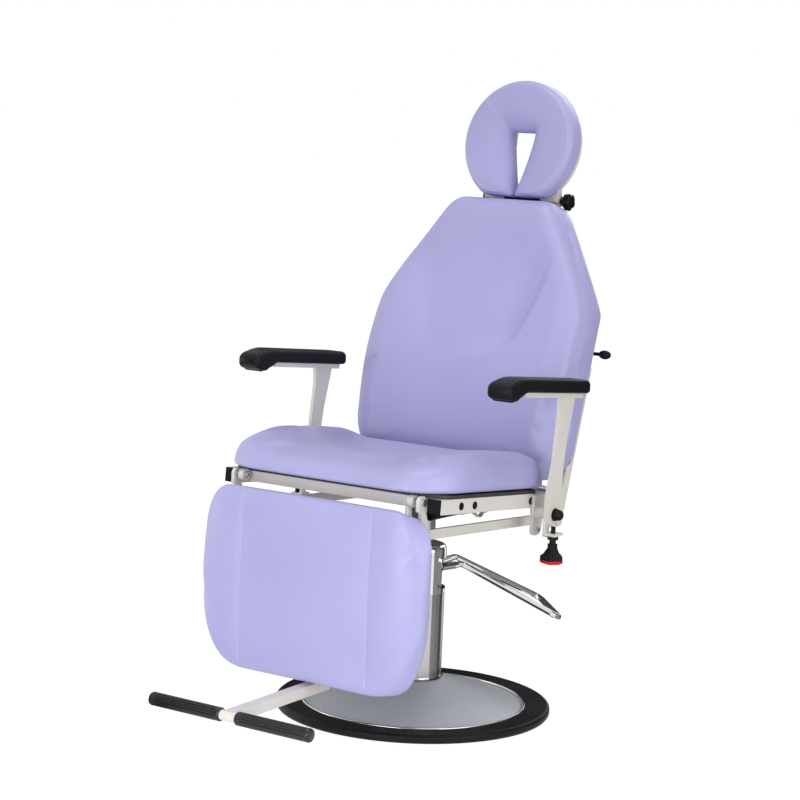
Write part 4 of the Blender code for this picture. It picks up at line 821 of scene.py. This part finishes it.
# Turned profiles of (radius, height) points: rail plug, bolt head, cup washer with its screw and rivet head
PLUG = (
    (0, -0.0022), (0.0064, -0.0022), (0.0066, 0.0004), (0.0082, 0.0005),
    (0.0080, 0.0013), (0.0056, 0.0014), (0.0040, 0.0004), (0, 0.0002),
)
BOLT = (
    (0, 0.0), (0.0062, 0.0), (0.0064, 0.0006), (0.0064, 0.0040),
    (0.0058, 0.0047), (0.0030, 0.0048), (0, 0.0048),
)
CUP = (
    (0, 0.0), (0.0080, 0.0), (0.0082, 0.0006), (0.0066, 0.0024),
    (0.0046, 0.0030), (0.0040, 0.0038), (0.0018, 0.0042), (0, 0.0043),
)
RIVET = ((0, 0.0), (0.0050, 0.0), (0.0052, 0.0008), (0.0046, 0.0026), (0.0024, 0.0032), (0, 0.0033))


def hardware():
    """Plugs in the rails' holes, bolts on the rear brackets and screws in both boards."""
    rail_face, rail_axis, bracket_face, back_face, leg_face = 0.2722, -0.015, 0.2811, 0.1066, -0.3507
    for name, side in SIDES:
        out = (side, 0, 0)
        for index, along in enumerate((0.074, 0.124, 0.342)):
            place = SEAT @ Vector((side * rail_face, along, rail_axis))
            button(f"rail_hole_plug_{name}_{index}", place, out, PLUG, BLACK, "seat")
        for index, (y, z) in enumerate(((0.024, 0.430), (0.087, 0.5045))):
            place = (side * bracket_face, y, z)
            button(f"bracket_bolt_{name}_{index}", place, out, BOLT, STEEL, "seat",
                   24, hexagon)
    way = BACK.to_3x3() @ Vector((0, 1, 0))
    for index, (x, up) in enumerate(((0.19, 0.10), (0.20, 0.26), (0.19, 0.40), (0.09, 0.58))):
        for name, side in SIDES:
            place = BACK @ Vector((side * x, back_face, up))
            button(f"back_board_screw_{name}_{index}", place, way, CUP, STEEL, "backrest")
    for index, (x, z) in enumerate(((0.14, 0.44), (0.19, 0.30), (0.12, 0.20))):
        for name, side in SIDES:
            place = (side * x, leg_face, z)
            button(f"leg_board_screw_{name}_{index}", place, (0, 1, 0), CUP, STEEL, "legrest")


# The catch's centre line under the rail and its section: (along, height) points and (across, up) shares
CATCH_LINE = (
    (0.096, -0.0322), (0.125, -0.0322), (0.150, -0.0324), (0.162, -0.0375),
    (0.172, -0.0425), (0.182, -0.0405), (0.187, -0.0345),
)
CATCH_SECTION = ((-1, -0.5), (-0.86, -1), (0.86, -1), (1, -0.5), (1, 0.5), (0.86, 1), (-0.86, 1), (-1, 0.5))


def rail_catch():
    """Small flat steel hook under the near rail, narrower from its bend on."""
    rail_x, half_thick, flat_half, hook_half, bend = 0.252, 0.0016, 0.0075, 0.0050, 14
    path = smooth_path([Vector(spot) for spot in CATCH_LINE], 6)
    rings = []
    for index, spot in enumerate(path):
        run = (path[min(index + 1, len(path) - 1)] - path[max(index - 1, 0)]).normalized()
        thick = Vector((-run.y, run.x)) * half_thick
        wide = flat_half if index < bend else hook_half
        ring = []
        for across, up in CATCH_SECTION:
            edge = spot + thick * up
            ring.append(SEAT @ Vector((rail_x + wide * across, edge.x, edge.y)))
        rings.append(ring)
    piece("rail_catch", skin(rings), STEEL, "seat")
    place = SEAT @ Vector((rail_x, 0.112, -0.0336))
    down = SEAT.to_3x3() @ Vector((0, 0, -1))
    button("rail_catch_rivet", place, down, RIVET, STEEL, "seat")


# Red band under a stop's star knob: (radius, height) points, with heights from the floor
BAND = (
    (0, 0.3686), (0.0160, 0.3686), (0.0212, 0.3712), (0.0229, 0.3735),
    (0.0231, 0.3750), (0.0229, 0.3768), (0, 0.3768),
)


def lobes(angle, height):
    """Radius factor of the star knob's five lobes."""
    return 1.0 + 0.115 * math.cos(5 * angle)


def red_bands():
    """Red ring under each star knob of the armrest stops."""
    stop_x, stop_y = 0.336, -0.002
    for name, side in SIDES:
        band = lathe(BAND, Matrix.Translation((side * stop_x, stop_y, 0.0)), 60, lobes)
        piece("stop_knob_band_" + name, band, RED, "arm_stop_" + name, angle=50)


# Studio

def any_of(tree, *outputs):
    """One value that is on when any of the given ray flags is on."""
    total = outputs[0]
    for flag in outputs[1:]:
        both = node(tree, "ShaderNodeMath", operation="MAXIMUM")
        tree.links.new(total, both.inputs[0])
        tree.links.new(flag, both.inputs[1])
        total = both.outputs["Value"]
    return total


def seen_rays(tree):
    """Rays that show the white background: straight from the camera, mirrored or through glass."""
    path = node(tree, "ShaderNodeLightPath")
    kinds = ("Is Camera Ray", "Is Glossy Ray", "Is Transmission Ray")
    return any_of(tree, *[path.outputs[kind] for kind in kinds])


def white_world():
    """World that is seen as white and lights as a softer fill."""
    world = bpy.data.worlds.new("studio")
    world.use_nodes = True
    bpy.context.scene.world = world
    tree = world.node_tree
    tree.nodes.clear()
    out = node(tree, "ShaderNodeOutputWorld")
    shown = node(tree, "ShaderNodeBackground", Color=(1, 1, 1, 1), Strength=1.0)
    fill = node(tree, "ShaderNodeBackground", Color=(0.98, 0.98, 1.0, 1), Strength=0.59)
    mix = node(tree, "ShaderNodeMixShader")
    tree.links.new(seen_rays(tree), mix.inputs["Fac"])
    tree.links.new(fill.outputs["Background"], mix.inputs[1])
    tree.links.new(shown.outputs["Background"], mix.inputs[2])
    tree.links.new(mix.outputs["Shader"], out.inputs["Surface"])


def pale_floor():
    """Plain floor that is seen as white, with part of the light left to show the shadow."""
    bm = bmesh.new()
    bmesh.ops.create_grid(bm, x_segments=1, y_segments=1, size=40.0)
    floor = piece("studio_floor", bm, bpy.data.materials.new("studio_floor"), None, smooth=False)
    floor.location.z = -0.0005
    paint = floor.data.materials[0]
    paint.use_nodes = True
    tree = paint.node_tree
    surface = tree.nodes["Principled BSDF"]
    surface.inputs["Base Color"].default_value = (0.80, 0.80, 0.81, 1)
    surface.inputs["Roughness"].default_value = 0.9
    surface.inputs["Specular IOR Level"].default_value = 0.1
    glow = node(tree, "ShaderNodeEmission", Color=(1, 1, 1, 1), Strength=1.16)
    share = node(tree, "ShaderNodeMath", operation="MULTIPLY")
    share.inputs[1].default_value = 0.80
    tree.links.new(seen_rays(tree), share.inputs[0])
    mix = node(tree, "ShaderNodeMixShader")
    tree.links.new(share.outputs["Value"], mix.inputs["Fac"])
    tree.links.new(surface.outputs["BSDF"], mix.inputs[1])
    tree.links.new(glow.outputs["Emission"], mix.inputs[2])
    tree.links.new(mix.outputs["Shader"], tree.nodes["Material Output"].inputs["Surface"])


# Dark flags round the chair: from and to degrees from +X, tone, and rows of (reach, height)
FLAGS = (
    (12, 46, 0.34, ((0.33, 0.001), (1.25, 0.001), (1.25, 1.6))),
    (46, 84, 0.10, ((0.33, 0.001), (1.25, 0.001), (1.25, 1.6))),
    (98, 150, 0.06, ((0.33, 0.001), (1.25, 0.001), (1.25, 1.6))),
    (-140, -108, 0.08, ((0.60, 0.001), (1.25, 0.001), (1.25, 1.0))),
)


def flag(index, start, end, tone, rows):
    """A dark curved card that reflections see and nothing else does."""
    bm = bmesh.new()
    lines, cuts = [], 12
    for step in range(cuts + 1):
        angle = math.radians(start + (end - start) * step / cuts)
        way = Vector((math.cos(angle), math.sin(angle)))
        lines.append([bm.verts.new((reach * way.x, reach * way.y, z)) for reach, z in rows])
    for row, after in zip(lines, lines[1:]):
        for index_up in range(len(rows) - 1):
            bm.faces.new((row[index_up], after[index_up], after[index_up + 1], row[index_up + 1]))
    card = piece(f"studio_flag_{index}", bm, bpy.data.materials.new("studio_flag"), None)
    paint = card.data.materials[0]
    paint.use_nodes = True
    surface = paint.node_tree.nodes["Principled BSDF"]
    surface.inputs["Base Color"].default_value = (tone, tone, tone, 1)
    surface.inputs["Roughness"].default_value = 1.0
    card.visible_camera = False
    card.visible_diffuse = False
    card.visible_shadow = False
    card.visible_transmission = False
    return card


def lamp(name, place, target, size, power, spread=180):
    """A round soft lamp of the given width, aimed at a target; spread is in degrees."""
    light = bpy.data.lights.new(name, "AREA")
    light.shape = "DISK"
    light.size = size
    light.energy = power
    light.spread = math.radians(spread)
    made = bpy.data.objects.new(name, light)
    made.location = place
    made.rotation_euler = (Vector(target) - Vector(place)).to_track_quat("-Z", "Y").to_euler()
    bpy.context.scene.collection.objects.link(made)


def studio():
    """White studio: plain pale floor, soft lamps, and dark flags that only metal reflects."""
    bpy.context.scene.view_settings.view_transform = "Standard"
    white_world()
    pale_floor()
    for index, card in enumerate(FLAGS):
        flag(index, *card)
    lamp("key", (0.5, -2.9, 0.25), (0, -0.4, -0.75), 2.0, 16, 92)
    lamp("fill", (4.2, -1.0, 1.0), (0, 0, 0.5), 2.6, 58)
    lamp("top", (0.6, -0.6, 6.0), (0, -0.2, 0.6), 4.0, 100)
    lamp("left", (-3.2, -2.2, 0.7), (0, -0.2, 0.5), 2.0, 21)
    lamp("rim", (-0.6, 3.2, 2.4), (0, 0, 0.8), 2.0, 16)


def camera():
    """Camera at the photograph's place, which leans a little to one side."""
    place, lens, sensor = (2.673, -3.973, 1.282), 100.7, 36
    turn, dip, lean = math.radians(34.59), math.radians(7.22), math.radians(2.38)
    ahead = Vector((-math.sin(turn) * math.cos(dip), math.cos(turn) * math.cos(dip), -math.sin(dip)))
    level = ahead.cross(Vector((0, 0, 1))).normalized()
    rise = level.cross(ahead)
    right = math.cos(lean) * level + math.sin(lean) * rise
    up = -math.sin(lean) * level + math.cos(lean) * rise
    data = bpy.data.cameras.new("photo_camera")
    data.sensor_width = sensor
    data.lens = lens
    made = bpy.data.objects.new("photo_camera", data)
    axes = Matrix((right, up, -ahead)).transposed().to_4x4()
    made.matrix_world = Matrix.Translation(place) @ axes
    bpy.context.scene.collection.objects.link(made)
    bpy.context.scene.camera = made


finish_nodes()
seat_pad()
back_pad()
leg_pad()
head_pad()
arm_pads()
floor_rim()
foot_grips()
hardware()
rail_catch()
red_bands()
studio()
camera()
